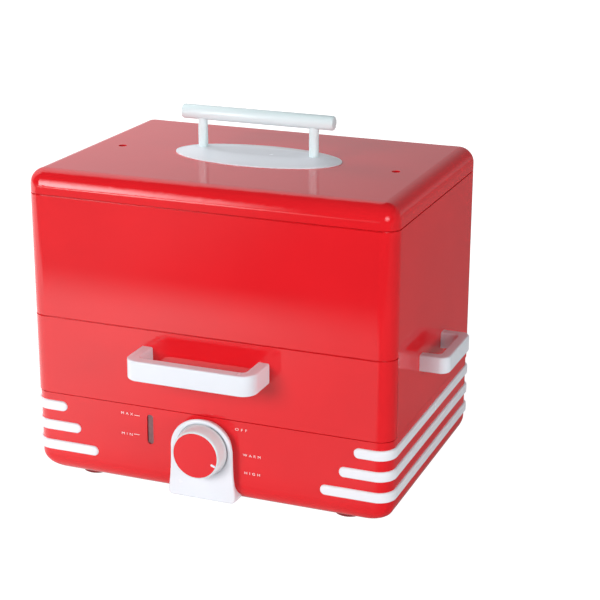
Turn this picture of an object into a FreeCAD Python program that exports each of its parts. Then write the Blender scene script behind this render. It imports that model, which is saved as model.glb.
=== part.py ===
import FreeCAD, Part
import math
import os

# Table-top hot dog steamer, in millimetres. The floor is z = 0, +Z is up and the front faces -Y.
# The base holds the water, the housing stands on it and carries the drawer, and the lid closes it.
# Sizes are worked out about the middle of the body. FRAME_SHIFT then brings the middle of the
# whole object, handles and all, to the origin.

Vector = FreeCAD.Vector
X_AXIS = Vector(1, 0, 0)
Y_AXIS = Vector(0, 1, 0)
Z_AXIS = Vector(0, 0, 1)
ORIGIN = Vector(0, 0, 0)
TINY = 0.01

# Body
body_width = 305.0
body_depth = 216.0
corner_radius = 13.0
foot_height = 3.4
base_height = 69.6
drawer_height = 65.4
upper_height = 99.1
lid_height = 19.5

# Fits between the pieces. A cut runs past the face that it opens by overcut.
seat_gap = 0.3
slide_clearance = 0.5
part_clearance = 0.1
running_clearance = 0.05
seam_line = 1.1
seam_depth = 1.2
least_corner = 0.6
overcut = 1.0

# Base
base_inset = 0.7
base_wall = 2.6
base_roll = 16.0
rim_wall = 2.0
rim_height = 6.0
ledge_drop = 1.0
ledge_thickness = 2.0
ledge_reach = 10.0
bottom_side_margin = 54.5
bottom_end_margin = 40.0
bottom_opening_corner = 9.0
bottom_plate_thickness = 1.5
vent_slot_length = 34.0
vent_slot_width = 4.0
vent_slot_pitch = 12.0
vent_slots_per_row = 7
vent_row_spacing = 52.0
lug_length = 22.0
lug_width = 14.0
lug_height = 7.0
lug_corner = 3.5
lug_screw_inset = 7.0
lug_count_per_side = 3
lug_end_inset = 23.0

# Feet
foot_side_inset = 41.5
foot_end_inset = 27.0
foot_radius = 10.0
foot_tip_radius = 8.6
foot_recess_radius = 4.2
foot_recess_depth = 2.2

# Fasteners
screw_radius = 1.5
screw_length = 8.0
screw_head_radius = 3.0
screw_head_height = 1.8
handle_screw_radius = 2.0
handle_screw_length = 13.0
handle_screw_head_radius = 4.0
handle_screw_head_height = 2.2
screw_crown_ratio = 0.7
screw_tip_gap = 1.0

# Water reservoir and what heats it
reservoir_wall = 1.5
well_side_gap = 27.5
well_front_gap = 42.4
well_back_gap = 12.0
well_corner = 12.0
well_bottom_rise = 30.6
sight_pocket_width = 34.0
sight_pocket_corner = 4.0
heater_radius = 52.0
heater_thickness = 5.0
element_radius = 4.0
element_ring_radius = 38.0
element_gap_angle = 50.0
clamp_width = 16.0
clamp_thickness = 2.0
clamp_corner = 4.0
clamp_boss_radius = 5.4
fuse_radius = 2.6
fuse_length = 16.0
fuse_offset = 19.0
terminal_width = 40.0
terminal_depth = 16.0
terminal_height = 14.0
terminal_side_inset = 86.5
terminal_back_inset = 64.0
terminal_x = body_width / 2 - terminal_side_inset
terminal_y = body_depth / 2 - terminal_back_inset
terminal_way_count = 3
terminal_pitch = 12.0
terminal_well_radius = 3.0
terminal_corner = 2.0

# Water window
window_x = -48.6
window_ledge_gap = 0.35
window_width = 5.6
window_height = 25.5
window_corner = 1.2
window_recess = 1.2
lens_flange = 2.8
lens_flange_thickness = 2.2
gasket_flange = 2.2
gasket_thickness = 0.9

# Knob, its raised surround and the thermostat behind it
knob_rise = 44.4
knob_gap = 0.9
bezel_radius = 24.5
bezel_bottom_half_width = 28.6
bezel_depth = 8.0
bezel_bottom_rise = 1.6
bezel_edge_round = 4.0
knob_base_radius = 22.6
knob_rim_radius = 20.4
knob_depth = 12.5
knob_wall = 2.0
knob_front_wall = 3.4
knob_hub_radius = 6.0
knob_edge_round = 0.6
knob_face_radius = 19.0
knob_face_thickness = 1.2
knob_face_sink = 0.2
pointer_length = 5.0
pointer_width = 1.9
pointer_proud = 0.15
pointer_corner = 0.7
pointer_clearance = 0.02
pointer_angle = -21.6
shaft_radius = 3.0
shaft_flat = 2.3
shaft_engagement = 8.0
shaft_end_gap = 1.0
bushing_radius = 5.0
bushing_reach = 3.6
hub_gap = 1.0
nut_across_flats = 13.0
nut_thickness = 2.4
thermostat_width = 34.0
thermostat_depth = 18.0
thermostat_corner = 5.0

# Trim strips along both sides of the base, lowest last
strip_height = 8.4
strip_proud = 1.8
strip_edge_round = 1.5
strip_seam_gap = 6.6
strip_pitch = 17.3
strip_front_reaches = (29.7, 41.5, 56.7)
strip_back_reach = 24.5

# Cable gland at the back
gland_side_inset = 56.5
gland_rise = 28.6
gland_radius = 8.0
gland_neck_radius = 6.0
gland_bore_radius = 3.6
gland_proud = 3.0
gland_flange = 2.0
gland_taper = 1.0

# Drip tray over the water
sheet = 1.2
drip_rim_height = 6.0
collar_radius = 9.0
collar_bore_radius = 7.5
collar_height = 8.0
collars_x = 5
collars_y = 2
collar_pitch_x = 48.0
collar_pitch_y = 70.0

# Housing
shell_wall = 2.4
inner_ledge_reach = 12.0
runner_thickness = 1.6
runner_reach = 9.0
runner_height = 13.0
runner_front_gap = 1.5
runner_screw_drop = 4.0
runner_screw_inset = 20.0
runner_screw_length = 3.4

# Drawer
drawer_wall = 2.4
drawer_side_gap = 0.6
drawer_tray_side_gap = 11.1
drawer_tray_back_gap = 17.2
drawer_tray_floor_gap = 9.0
drawer_tray_corner = 2.5
drawer_rim_drop = 8.4
drawer_rim_thickness = 1.2
drawer_rim_side_gap = 1.4
drawer_rim_front_gap = 14.0
divider_height = 26.0
divider_foot = 9.0
tray_slot_length = 26.0
tray_slot_width = 7.0
tray_slot_count_x = 7
tray_slot_count_y = 5
tray_slot_pitch_x = 38.0
tray_slot_pitch_y = 32.0

# Front and side handles
front_handle_length = 108.0
front_handle_reach = 34.0
front_handle_height = 16.5
front_handle_band = 9.7
front_handle_corner = 12.0
front_handle_rise = 43.2
side_handle_length = 66.0
side_handle_reach = 23.0
side_handle_height = 13.4
side_handle_band = 8.8
side_handle_corner = 8.0
side_handle_y = -8.0
side_handle_rise = 42.2
handle_inner_corner = 4.0
handle_edge_round = 1.4

# Upper tray
upper_tray_gap = 1.2
upper_tray_height = 58.0
upper_tray_corner = 8.0
lift_lip_length = 70.0
lift_lip_reach = 12.0
lift_lip_corner = 3.0
upper_divider_height = 44.0

# Lid and its handle
lid_straight = 6.2
lid_roll = 12.6
lid_corner_growth = -0.93
skirt_wall = 2.0
skirt_height = 6.0
skirt_root = 5.0
steam_vent_radius = 3.4
steam_vent_inset = 34.0
steam_vent_y = -6.0
plate_length = 138.0
plate_width = 70.0
plate_edge_height = 1.2
plate_height = 4.6
plate_flat_length = 112.0
plate_flat_width = 42.0
rod_radius = 5.8
rod_length = 134.0
rod_end_round = 1.0
rod_height = 32.4
post_radius = 3.9
post_spacing = 96.0

# Levels and faces worked out from the sizes above
base_bottom_z = foot_height
base_seam_z = base_bottom_z + base_height
mid_seam_z = base_seam_z + drawer_height
lid_seam_z = mid_seam_z + upper_height
lid_top_z = lid_seam_z + lid_height
front_y = -body_depth / 2
base_front_y = front_y + base_inset
base_inner_front_y = base_front_y + base_wall
base_back_y = -base_front_y
bottom_opening_width = body_width - 2 * bottom_side_margin
bottom_opening_depth = body_depth - 2 * bottom_end_margin
foot_spacing_x = body_width - 2 * foot_side_inset
foot_spacing_y = body_depth - 2 * foot_end_inset
relief = (seam_line - seat_gap) / 2
ledge_z = base_seam_z - ledge_drop
flange_top_z = ledge_z + reservoir_wall
well_bottom_z = base_bottom_z + well_bottom_rise
well_width = body_width - 2 * well_side_gap
well_front_y = base_inner_front_y + well_front_gap
well_back_y = -base_inner_front_y - well_back_gap
well_depth = well_back_y - well_front_y
lens_top_z = ledge_z - ledge_thickness - window_ledge_gap
window_z = lens_top_z - lens_flange - window_height / 2
knob_z = base_bottom_z + knob_rise
strip_top_z = base_seam_z - strip_seam_gap - strip_height / 2
gland_x = body_width / 2 - gland_side_inset
gland_z = base_bottom_z + gland_rise
front_handle_z = base_seam_z + front_handle_rise
side_handle_z = base_seam_z + side_handle_rise
steam_vent_x = body_width / 2 - steam_vent_inset
housing_bottom_z = base_seam_z + seat_gap
rim_offset = shell_wall + slide_clearance
rim_inner_offset = rim_offset + rim_wall
bezel_front_y = base_front_y - bezel_depth
gasket_back_y = base_inner_front_y + lens_flange_thickness + gasket_thickness
knob_back_y = bezel_front_y - knob_gap
knob_recess_depth = knob_face_thickness + knob_face_sink
knob_face_low = knob_depth - knob_recess_depth
shaft_hole_depth = knob_face_low - knob_front_wall / 2
drawer_inner_y = front_y + drawer_wall
drawer_seam_y = front_y + corner_radius
drawer_rim_z = mid_seam_z - drawer_rim_drop
drawer_floor_z = base_seam_z + rim_height + drawer_tray_floor_gap
drawer_tray_width = body_width - 2 * (shell_wall + drawer_tray_side_gap)
drawer_tray_depth = body_depth - drawer_wall - shell_wall - drawer_tray_back_gap
drawer_tray_y = drawer_inner_y + drawer_tray_depth / 2
drawer_rim_half = body_width / 2 - shell_wall - runner_thickness - drawer_rim_side_gap
back_proud = max(gland_proud, strip_proud, base_inset) - base_inset
FRAME_SHIFT = Vector(0, (front_handle_reach - back_proud) / 2, 0)


def outline(width, depth, corner, level):
    """Closed wire of a rounded rectangle about the Z axis."""
    x = width / 2
    y = depth / 2
    r = max(corner, least_corner)
    k = r * (1 - math.cos(math.radians(45)))
    edges = []
    for sx, sy in ((1, -1), (1, 1), (-1, 1), (-1, -1)):
        middle = Vector(sx * (x - k), sy * (y - k), level)
        along_x = Vector(sx * (x - r), sy * y, level)
        along_y = Vector(sx * x, sy * (y - r), level)
        first, last = (along_x, along_y) if sx * sy < 0 else (along_y, along_x)
        edges.append((first, middle, last))
    wire = []
    for index, (first, middle, last) in enumerate(edges):
        wire.append(Part.Arc(first, middle, last).toShape())
        following = edges[(index + 1) % 4][0]
        wire.append(Part.LineSegment(last, following).toShape())
    return Part.Wire(wire)


def block(width, depth, corner, low, high):
    """Upright prism of a rounded rectangle."""
    return Part.Face(outline(width, depth, corner, low)).extrude(Vector(0, 0, high - low))


def inset_block(offset, low, high, width=None, depth=None, corner=None):
    """Upright prism that follows the body's outline, drawn in by offset."""
    width = body_width if width is None else width
    depth = body_depth if depth is None else depth
    corner = corner_radius if corner is None else corner
    return block(width - 2 * offset, depth - 2 * offset, corner - offset, low, high)


def band(outer_offset, inner_offset, low, high):
    """Ring between two offsets of the body's outline."""
    return inset_block(outer_offset, low, high).cut(inset_block(inner_offset, low, high))


def front_block(width, height, corner, x, z, near, far):
    """Prism that runs front to back, its rounded rectangle seen from the front."""
    shape = block(width, height, corner, -far, -near)
    shape.rotate(ORIGIN, X_AXIS, 90)
    shape.translate(Vector(x, 0, z))
    return shape


def box(x_low, x_high, y_low, y_high, z_low, z_high):
    """Plain box between two corners."""
    return Part.makeBox(x_high - x_low, y_high - y_low, z_high - z_low, Vector(x_low, y_low, z_low))


def rolled_end(width, depth, corner, growth, roll, side_z, face_z):
    """Loft whose edge rolls from upright sides at side_z to the flat face at face_z."""
    steps = 6
    sections = []
    for step in range(steps + 1):
        angle = math.radians(90 * step / steps)
        inset = roll * (1 - math.cos(angle))
        level = side_z + (face_z - side_z) * math.sin(angle)
        sections.append(outline(width - 2 * inset, depth - 2 * inset, corner + growth * inset, level))
    return Part.makeLoft(sections, True, False)


def drill(radius, length, start, direction):
    """Round tool that starts overcut before the face at start and ends overcut past length."""
    return Part.makeCylinder(radius, length + 2 * overcut, start - direction * overcut, direction)


def upright_slot(length, width, x, y, low, high):
    """Slot with round ends, along Y, to be cut through a floor."""
    radius = width / 2
    reach = length / 2 - radius
    slot = box(x - radius, x + radius, y - reach, y + reach, low, high)
    for end in (y - reach, y + reach):
        slot = slot.fuse(Part.makeCylinder(radius, high - low, Vector(x, end, low)))
    return slot


def grid(count, pitch):
    """Centres of a row of count places, pitch apart, about zero."""
    return [(index - (count - 1) / 2) * pitch for index in range(count)]


def corners(spacing_x, spacing_y):
    """Four places of a rectangle about the middle, front pair first."""
    return [(sx * spacing_x / 2, sy * spacing_y / 2) for sy in (-1, 1) for sx in (-1, 1)]


def screw(head, direction, shank_radius, length, head_radius, head_height):
    """Screw whose head sits at head and whose shank points along direction."""
    shank = Part.makeCylinder(shank_radius, length, head, direction)
    crown_radius = head_radius * screw_crown_ratio
    dome = Part.makeCone(head_radius, crown_radius, head_height, head, direction * -1)
    return shank.fuse(dome)


def small_screw(head, direction):
    """Screw of the small size."""
    return screw(head, direction, screw_radius, screw_length, screw_head_radius, screw_head_height)


def handle_screw(head, direction):
    """Screw that holds a handle from inside the wall."""
    return screw(
        head,
        direction,
        handle_screw_radius,
        handle_screw_length,
        handle_screw_head_radius,
        handle_screw_head_height,
    )


def round_edges(shape, radius, chosen):
    """Fillet the edges that the test picks."""
    edges = [edge for edge in shape.Edges if chosen(edge)]
    return shape.makeFillet(radius, edges)


def one_solid(shape):
    """The single solid of a result, with its split faces joined."""
    clean = shape.removeSplitter()
    return clean.Solids[0] if len(clean.Solids) == 1 else clean


def save(name, *solids):
    """Write one named piece, or a group of like pieces, in the object's own frame."""
    shape = solids[0] if len(solids) == 1 else Part.makeCompound(list(solids))
    shape = shape.translated(FRAME_SHIFT)
    shape.exportStep("parts/" + name + ".step")
    print(name, len(shape.Solids), shape.isValid(), round(shape.Volume, 1))


def base_body(inset, high):
    """Solid that follows the base's outside, drawn in by inset, up to high."""
    width = body_width - 2 * (base_inset + inset)
    depth = body_depth - 2 * (base_inset + inset)
    corner = corner_radius - base_inset - inset
    roll = base_roll - inset
    side_z = base_bottom_z + base_roll
    foot = rolled_end(width, depth, corner, 0.0, roll, side_z, base_bottom_z + inset)
    return foot.fuse(block(width, depth, corner, side_z, high))


def lug_places():
    """Centre and side of each lug that the bottom plate is screwed to."""
    reach = bottom_opening_width / 2 - lug_end_inset
    return [(x, side) for side in (-1, 1) for x in grid(lug_count_per_side, reach)]


def lug_screw_y(side):
    """Y of the bottom plate's screws on one side."""
    return side * (bottom_opening_depth / 2 - lug_screw_inset)


def make_base_shell():
    """Moulded tub: rolled lower edge, shoulder and rim for the housing, ledge for the reservoir."""
    shell = base_body(0.0, base_seam_z).cut(base_body(base_wall, base_seam_z + overcut))
    ledge_bottom = ledge_z - ledge_thickness
    shell = shell.fuse(band(base_inset + base_wall / 2, ledge_reach, ledge_bottom, ledge_z))
    shell = shell.fuse(band(base_inset + base_wall / 2, rim_inner_offset, ledge_bottom, base_seam_z))
    shell = shell.fuse(band(rim_offset, rim_inner_offset, ledge_z, base_seam_z + rim_height))
    floor_z = base_bottom_z + bottom_plate_thickness
    for x, side in lug_places():
        shell = shell.fuse(lug_block(x, side, floor_z, floor_z + lug_height))
    below = base_bottom_z - overcut
    floor_top = base_bottom_z + base_wall + overcut
    opening = bottom_opening(below, floor_top)
    for x, side in lug_places():
        opening = opening.cut(lug_block(x, side, floor_z, floor_top))
    shell = shell.cut(opening)
    lug_hole_length = bottom_plate_thickness + lug_height
    for x, side in lug_places():
        place = Vector(x, lug_screw_y(side), base_bottom_z)
        shell = shell.cut(drill(screw_radius + part_clearance, lug_hole_length, place, Z_AXIS))
    for x, y in corners(foot_spacing_x, foot_spacing_y):
        place = Vector(x, y, base_bottom_z)
        shell = shell.cut(drill(screw_radius + part_clearance, base_wall, place, Z_AXIS))
    shell = shell.cut(sight_pocket(-slide_clearance, ledge_bottom - overcut, ledge_z + overcut))
    shell = shell.cut(band(0.0, base_inset + seam_depth, base_seam_z - relief, base_seam_z))
    shell = shell.cut(window_block(0.0, base_front_y - overcut, base_inner_front_y + overcut))
    panel = Vector(0, base_front_y, knob_z)
    shell = shell.cut(drill(bushing_radius + part_clearance, base_wall, panel, Y_AXIS))
    back = Vector(gland_x, base_back_y - base_wall, gland_z)
    return one_solid(shell.cut(drill(gland_neck_radius, base_wall, back, Y_AXIS)))


def lug_block(x, side, low, high):
    """Block of one lug, at the edge of the bottom opening."""
    lug = block(lug_width, lug_length, lug_corner, low, high)
    lug.translate(Vector(x, side * (bottom_opening_depth / 2 - lug_screw_inset + lug_corner), 0))
    return lug


def bottom_opening(low, high):
    """Opening in the base's floor, through which the heater is fitted."""
    return block(bottom_opening_width, bottom_opening_depth, bottom_opening_corner, low, high)


def make_bottom_plate():
    """Sheet that closes the opening below, with two rows of cooling slots."""
    gap = 2 * slide_clearance
    top = base_bottom_z + bottom_plate_thickness
    plate = block(
        bottom_opening_width - gap,
        bottom_opening_depth - gap,
        bottom_opening_corner - slide_clearance,
        base_bottom_z,
        top,
    )
    for x in grid(vent_slots_per_row, vent_slot_pitch):
        for y in grid(2, vent_row_spacing):
            low = base_bottom_z - overcut
            plate = plate.cut(upright_slot(vent_slot_length, vent_slot_width, x, y, low, top + overcut))
    for x, side in lug_places():
        place = Vector(x, lug_screw_y(side), base_bottom_z)
        plate = plate.cut(drill(screw_radius + part_clearance, bottom_plate_thickness, place, Z_AXIS))
    return plate


def make_bottom_plate_screws():
    """Six screws that hold the bottom plate up against its lugs."""
    return [small_screw(Vector(x, lug_screw_y(side), base_bottom_z), Z_AXIS) for x, side in lug_places()]


def make_foot(x, y):
    """Rubber foot, tapered, with a recess for its screw."""
    foot = Part.makeCone(foot_tip_radius, foot_radius, foot_height, Vector(x, y, 0))
    recess = Part.makeCylinder(foot_recess_radius, foot_recess_depth, Vector(x, y, 0))
    hole = Part.makeCylinder(screw_radius + part_clearance, foot_height, Vector(x, y, 0))
    return foot.cut(recess).cut(hole)


def make_foot_screws():
    """Screw up through each foot into the base."""
    return [
        small_screw(Vector(x, y, foot_recess_depth), Z_AXIS)
        for x, y in corners(foot_spacing_x, foot_spacing_y)
    ]


def sight_pocket(wall, low, high):
    """Pocket that brings the water forward to the window, drawn in by wall."""
    back_y = heater_centre(0).y
    front = gasket_back_y + wall
    width = sight_pocket_width - 2 * wall
    pocket = block(width, back_y - front, sight_pocket_corner - wall, low, high)
    pocket.translate(Vector(window_x, (back_y + front) / 2, 0))
    return pocket


def well_blocks(wall, low, high):
    """Main well and sight pocket of the reservoir, drawn in by wall."""
    main = block(well_width - 2 * wall, well_depth - 2 * wall, well_corner - wall, low, high)
    main.translate(heater_centre(0))
    return main.fuse(sight_pocket(wall, low, high))


def window_block(growth, near, far):
    """Prism of the window's outline, grown on every side, between two depths."""
    width = window_width + 2 * growth
    height = window_height + 2 * growth
    corner = window_corner + growth / 2
    return front_block(width, height, corner, window_x, window_z, near, far)


def make_reservoir():
    """Pan on the base's ledge: a deep well, and a pocket that shows the water at the window."""
    flange = inset_block(rim_inner_offset + slide_clearance, ledge_z, flange_top_z)
    outside = well_blocks(0.0, well_bottom_z, flange_top_z)
    inside = well_blocks(reservoir_wall, well_bottom_z + reservoir_wall, flange_top_z + overcut)
    sight_hole = window_block(0.0, base_inner_front_y, gasket_back_y + reservoir_wall + overcut)
    return one_solid(flange.fuse(outside).cut(inside).cut(sight_hole))


def make_water_window():
    """Clear lens: a nose in the slot, and a flange behind the wall."""
    nose = window_block(-part_clearance, base_front_y + window_recess, base_inner_front_y)
    flange_back_y = base_inner_front_y + lens_flange_thickness
    return one_solid(nose.fuse(window_block(lens_flange, base_inner_front_y, flange_back_y)))


def make_window_gasket():
    """Ring that seals the lens to the reservoir's pocket."""
    near = base_inner_front_y + lens_flange_thickness
    hole = window_block(0.0, near - overcut, gasket_back_y + overcut)
    return window_block(gasket_flange, near, gasket_back_y).cut(hole)


def heater_centre(z):
    """Centre of the heater under the well, at height z."""
    return Vector(0, (well_front_y + well_back_y) / 2, z)


def element_ring(radius):
    """Open ring of the heating tube, half sunk in the heater plate."""
    centre = heater_centre(well_bottom_z - heater_thickness)
    start = math.radians(-90 + element_gap_angle / 2)
    turn = 360 - element_gap_angle
    section_centre = centre + Vector(math.cos(start), math.sin(start), 0) * element_ring_radius
    tangent = Vector(-math.sin(start), math.cos(start), 0)
    section = Part.Face(Part.Wire(Part.makeCircle(radius, section_centre, tangent)))
    return section.revolve(centre, Z_AXIS, turn)


def make_heater_plate():
    """Cast disc against the well's floor, grooved for the heating tube."""
    centre = heater_centre(well_bottom_z - heater_thickness)
    disc = Part.makeCylinder(heater_radius, heater_thickness, centre)
    disc = disc.cut(element_ring(element_radius + running_clearance))
    return disc.cut(Part.makeCylinder(screw_radius + part_clearance, heater_thickness, centre))


def make_heater_clamp():
    """Strip that holds the heating tube up in its groove."""
    top = well_bottom_z - heater_thickness - element_radius
    low = top - clamp_thickness
    length = 2 * (element_ring_radius + 2 * element_radius)
    strip = block(length, clamp_width, clamp_corner, low, top)
    strip.translate(heater_centre(0))
    boss = Part.makeCylinder(clamp_boss_radius, element_radius, heater_centre(top))
    hole_length = clamp_thickness + element_radius
    hole = drill(screw_radius + part_clearance, hole_length, heater_centre(low), Z_AXIS)
    return one_solid(strip.fuse(boss).cut(hole))


def make_heater_clamp_screw():
    """Screw up through the clamp into the heater plate."""
    low = well_bottom_z - heater_thickness - element_radius - clamp_thickness
    return small_screw(heater_centre(low), Z_AXIS)


def make_thermal_fuse():
    """Cut-out against the underside of the heater plate."""
    centre = heater_centre(well_bottom_z - heater_thickness - fuse_radius)
    return Part.makeCylinder(
        fuse_radius, fuse_length, centre + Vector(-fuse_length / 2, fuse_offset, 0), X_AXIS
    )


def make_terminal_block():
    """Three-way connector on the bottom plate."""
    low = base_bottom_z + bottom_plate_thickness
    well_depth_down = terminal_height / 2
    body = block(terminal_width, terminal_depth, terminal_corner, low, low + terminal_height)
    for x in grid(terminal_way_count, terminal_pitch):
        well = Vector(x, 0, low + terminal_height - well_depth_down)
        body = body.cut(Part.makeCylinder(terminal_well_radius, well_depth_down, well))
    body.translate(Vector(terminal_x, terminal_y, 0))
    return body


def make_thermostat():
    """Switch body behind the panel, with the bushing that the knob's shaft turns in."""
    back_y = base_inner_front_y + thermostat_depth
    body = front_block(
        thermostat_width, thermostat_width, thermostat_corner, 0, knob_z, base_inner_front_y, back_y
    )
    bushing_front = Vector(0, bezel_front_y - bushing_reach, knob_z)
    bushing_length = base_inner_front_y - bushing_front.y
    bushing = Part.makeCylinder(bushing_radius, bushing_length, bushing_front, Y_AXIS)
    bore_length = bushing_length + shaft_engagement
    bore = Part.makeCylinder(shaft_radius + running_clearance, bore_length, bushing_front, Y_AXIS)
    return one_solid(body.fuse(bushing).cut(bore))


def make_thermostat_nut():
    """Nut that clamps the surround and the panel to the thermostat."""
    radius = nut_across_flats / math.sqrt(3)
    points = []
    for side in range(7):
        angle = math.radians(60 * side)
        points.append(Vector(radius * math.cos(angle), bezel_front_y, knob_z + radius * math.sin(angle)))
    nut = Part.Face(Part.makePolygon(points)).extrude(Vector(0, -nut_thickness, 0))
    front = Vector(0, bezel_front_y - nut_thickness, knob_z)
    return nut.cut(drill(bushing_radius + part_clearance, nut_thickness, front, Y_AXIS))


def make_knob_bezel():
    """Raised arch round the knob that runs down over the base's rolled edge."""
    bottom_z = base_bottom_z + bezel_bottom_rise
    drop = knob_z - bottom_z
    slant = math.hypot(bezel_bottom_half_width, drop)
    tangent_angle = math.acos(bezel_radius / slant) - math.atan2(drop, bezel_bottom_half_width)
    tangent_x = bezel_radius * math.cos(tangent_angle)
    tangent_z = knob_z + bezel_radius * math.sin(tangent_angle)
    left_foot = Vector(-bezel_bottom_half_width, bezel_front_y, bottom_z)
    right_foot = Vector(bezel_bottom_half_width, bezel_front_y, bottom_z)
    left = Vector(-tangent_x, bezel_front_y, tangent_z)
    right = Vector(tangent_x, bezel_front_y, tangent_z)
    crown = Vector(0, bezel_front_y, knob_z + bezel_radius)
    wire = Part.Wire(
        [
            Part.LineSegment(left_foot, right_foot).toShape(),
            Part.LineSegment(right_foot, right).toShape(),
            Part.Arc(right, crown, left).toShape(),
            Part.LineSegment(left, left_foot).toShape(),
        ]
    )
    arch = Part.Face(wire).extrude(Vector(0, bezel_depth + base_roll, 0))
    arch = round_edges(arch, bezel_edge_round, lambda edge: edge.BoundBox.YMax < bezel_front_y + TINY)
    arch = arch.cut(base_body(0.0, base_seam_z))
    front = Vector(0, bezel_front_y, knob_z)
    return one_solid(arch.cut(drill(bushing_radius + part_clearance, bezel_depth, front, Y_AXIS)))


def make_knob_body():
    """Tapered knob, hollow behind, with a hub and a shallow recess for its coloured face."""
    shell = Part.makeCone(knob_base_radius, knob_rim_radius, knob_depth)
    shell = round_edges(shell, knob_edge_round, lambda edge: edge.BoundBox.ZMin > knob_depth - TINY)
    hollow = Part.makeCone(
        knob_base_radius - knob_wall, knob_rim_radius - knob_wall, knob_depth - knob_front_wall
    )
    hub_low = bushing_reach + hub_gap
    hub = Part.makeCylinder(knob_hub_radius, knob_face_low - hub_low, Vector(0, 0, hub_low))
    recess = Part.makeCylinder(
        knob_face_radius + part_clearance, knob_recess_depth, Vector(0, 0, knob_face_low)
    )
    bore = Part.makeCylinder(shaft_radius + running_clearance, shaft_hole_depth)
    knob = shell.cut(hollow).fuse(hub).cut(recess).cut(bore)
    return one_solid(turned_to_front(knob, knob_back_y))


def turned_to_front(shape, back_y):
    """Turn a piece drawn along Z so that it points to the front from back_y, on the knob's axis."""
    placed = shape.copy()
    placed.rotate(ORIGIN, X_AXIS, 90)
    placed.translate(Vector(0, back_y, knob_z))
    return placed


def pointer_block(clearance, high):
    """Radial bar of the pointer, at the edge of the knob's face, up to high."""
    inner = knob_face_radius - pointer_length - clearance
    outer = knob_face_radius + pointer_width
    bar = block(outer - inner, pointer_width + 2 * clearance, pointer_corner, knob_face_low, high)
    bar.translate(Vector((outer + inner) / 2, 0, 0))
    bar.rotate(ORIGIN, Z_AXIS, pointer_angle)
    rim = Part.makeCylinder(knob_face_radius, high - knob_face_low, Vector(0, 0, knob_face_low))
    return bar.common(rim)


def make_knob_face():
    """Coloured disc in the knob's recess, notched for the pointer."""
    disc = Part.makeCylinder(knob_face_radius, knob_face_thickness, Vector(0, 0, knob_face_low))
    disc = disc.cut(pointer_block(pointer_clearance, knob_depth + overcut))
    return turned_to_front(disc, knob_back_y)


def make_knob_pointer():
    """Bar that shows the setting."""
    bar = pointer_block(0.0, knob_face_low + knob_face_thickness + pointer_proud)
    return turned_to_front(bar, knob_back_y)


def make_knob_shaft():
    """Steel shaft with a flat, from inside the thermostat into the knob's hub."""
    back_y = base_inner_front_y + shaft_engagement - shaft_end_gap
    front = knob_back_y - shaft_hole_depth + slide_clearance
    rod = Part.makeCylinder(shaft_radius, back_y - front, Vector(0, front, knob_z), Y_AXIS)
    flat_z = knob_z + shaft_flat
    flat_end_y = bezel_front_y - bushing_reach
    return rod.cut(box(-shaft_radius, shaft_radius, front, flat_end_y, flat_z, flat_z + shaft_radius))


def make_trim_strips(side):
    """Three raised strips on one side of the base: they wrap both corners and end rounded in front."""
    strips = []
    height = strip_height
    for row, front_reach in enumerate(strip_front_reaches):
        middle = strip_top_z - row * strip_pitch
        low = middle - height / 2
        high = middle + height / 2
        ring = inset_block(base_inset - strip_proud, low, high)
        ring = round_edges(ring, strip_edge_round, is_level)
        ring = ring.cut(inset_block(base_inset, low - overcut, high + overcut))
        front = side_reach(front_reach, -body_depth, 0, middle, height)
        back = side_reach(strip_back_reach, 0, body_depth, middle, height)
        strip = one_solid(ring.common(front.fuse(back)))
        strips.append(strip if side > 0 else strip.mirror(ORIGIN, X_AXIS))
    return strips


def is_level(edge):
    """True for an edge that lies in one level."""
    return edge.BoundBox.ZMax - edge.BoundBox.ZMin < TINY


def side_reach(reach_in, y_low, y_high, middle_z, height):
    """Everything from a round end, reach_in from the right side, out to the right, between two depths."""
    radius = height / 2
    centre_x = body_width / 2 - reach_in + radius
    reach = box(centre_x, body_width, y_low, y_high, middle_z - radius, middle_z + radius)
    centre = Vector(centre_x, y_low, middle_z)
    return reach.fuse(Part.makeCylinder(radius, y_high - y_low, centre, Y_AXIS))


def make_cord_gland():
    """Bush in the back wall that the mains lead enters through."""
    wall_y = base_back_y - base_wall
    outside = Vector(gland_x, base_back_y, gland_z)
    inside = Vector(gland_x, wall_y - gland_flange, gland_z)
    head = Part.makeCone(gland_radius, gland_radius - gland_taper, gland_proud, outside, Y_AXIS)
    neck_start = Vector(gland_x, wall_y, gland_z)
    neck = Part.makeCylinder(gland_neck_radius - part_clearance, base_wall, neck_start, Y_AXIS)
    inner = Part.makeCylinder(gland_radius, gland_flange, inside, Y_AXIS)
    bore = drill(gland_bore_radius, gland_flange + base_wall + gland_proud, inside, Y_AXIS)
    return one_solid(head.fuse(neck).fuse(inner).cut(bore))


def make_drip_tray():
    """Loose tray over the water: a low rim, and collars that let the steam up past the drips."""
    low = flange_top_z + seat_gap
    offset = rim_inner_offset + slide_clearance
    tray = inset_block(offset, low, low + drip_rim_height)
    tray = tray.cut(inset_block(offset + sheet, low + sheet, low + drip_rim_height + overcut))
    centre = heater_centre(low)
    rows = grid(collars_y, collar_pitch_y)
    places = [centre + Vector(x, y, 0) for x in grid(collars_x, collar_pitch_x) for y in rows]
    for place in places:
        tray = tray.fuse(Part.makeCylinder(collar_radius, collar_height, place))
    for place in places:
        tray = tray.cut(drill(collar_bore_radius, collar_height, place, Z_AXIS))
    return one_solid(tray)


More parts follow.
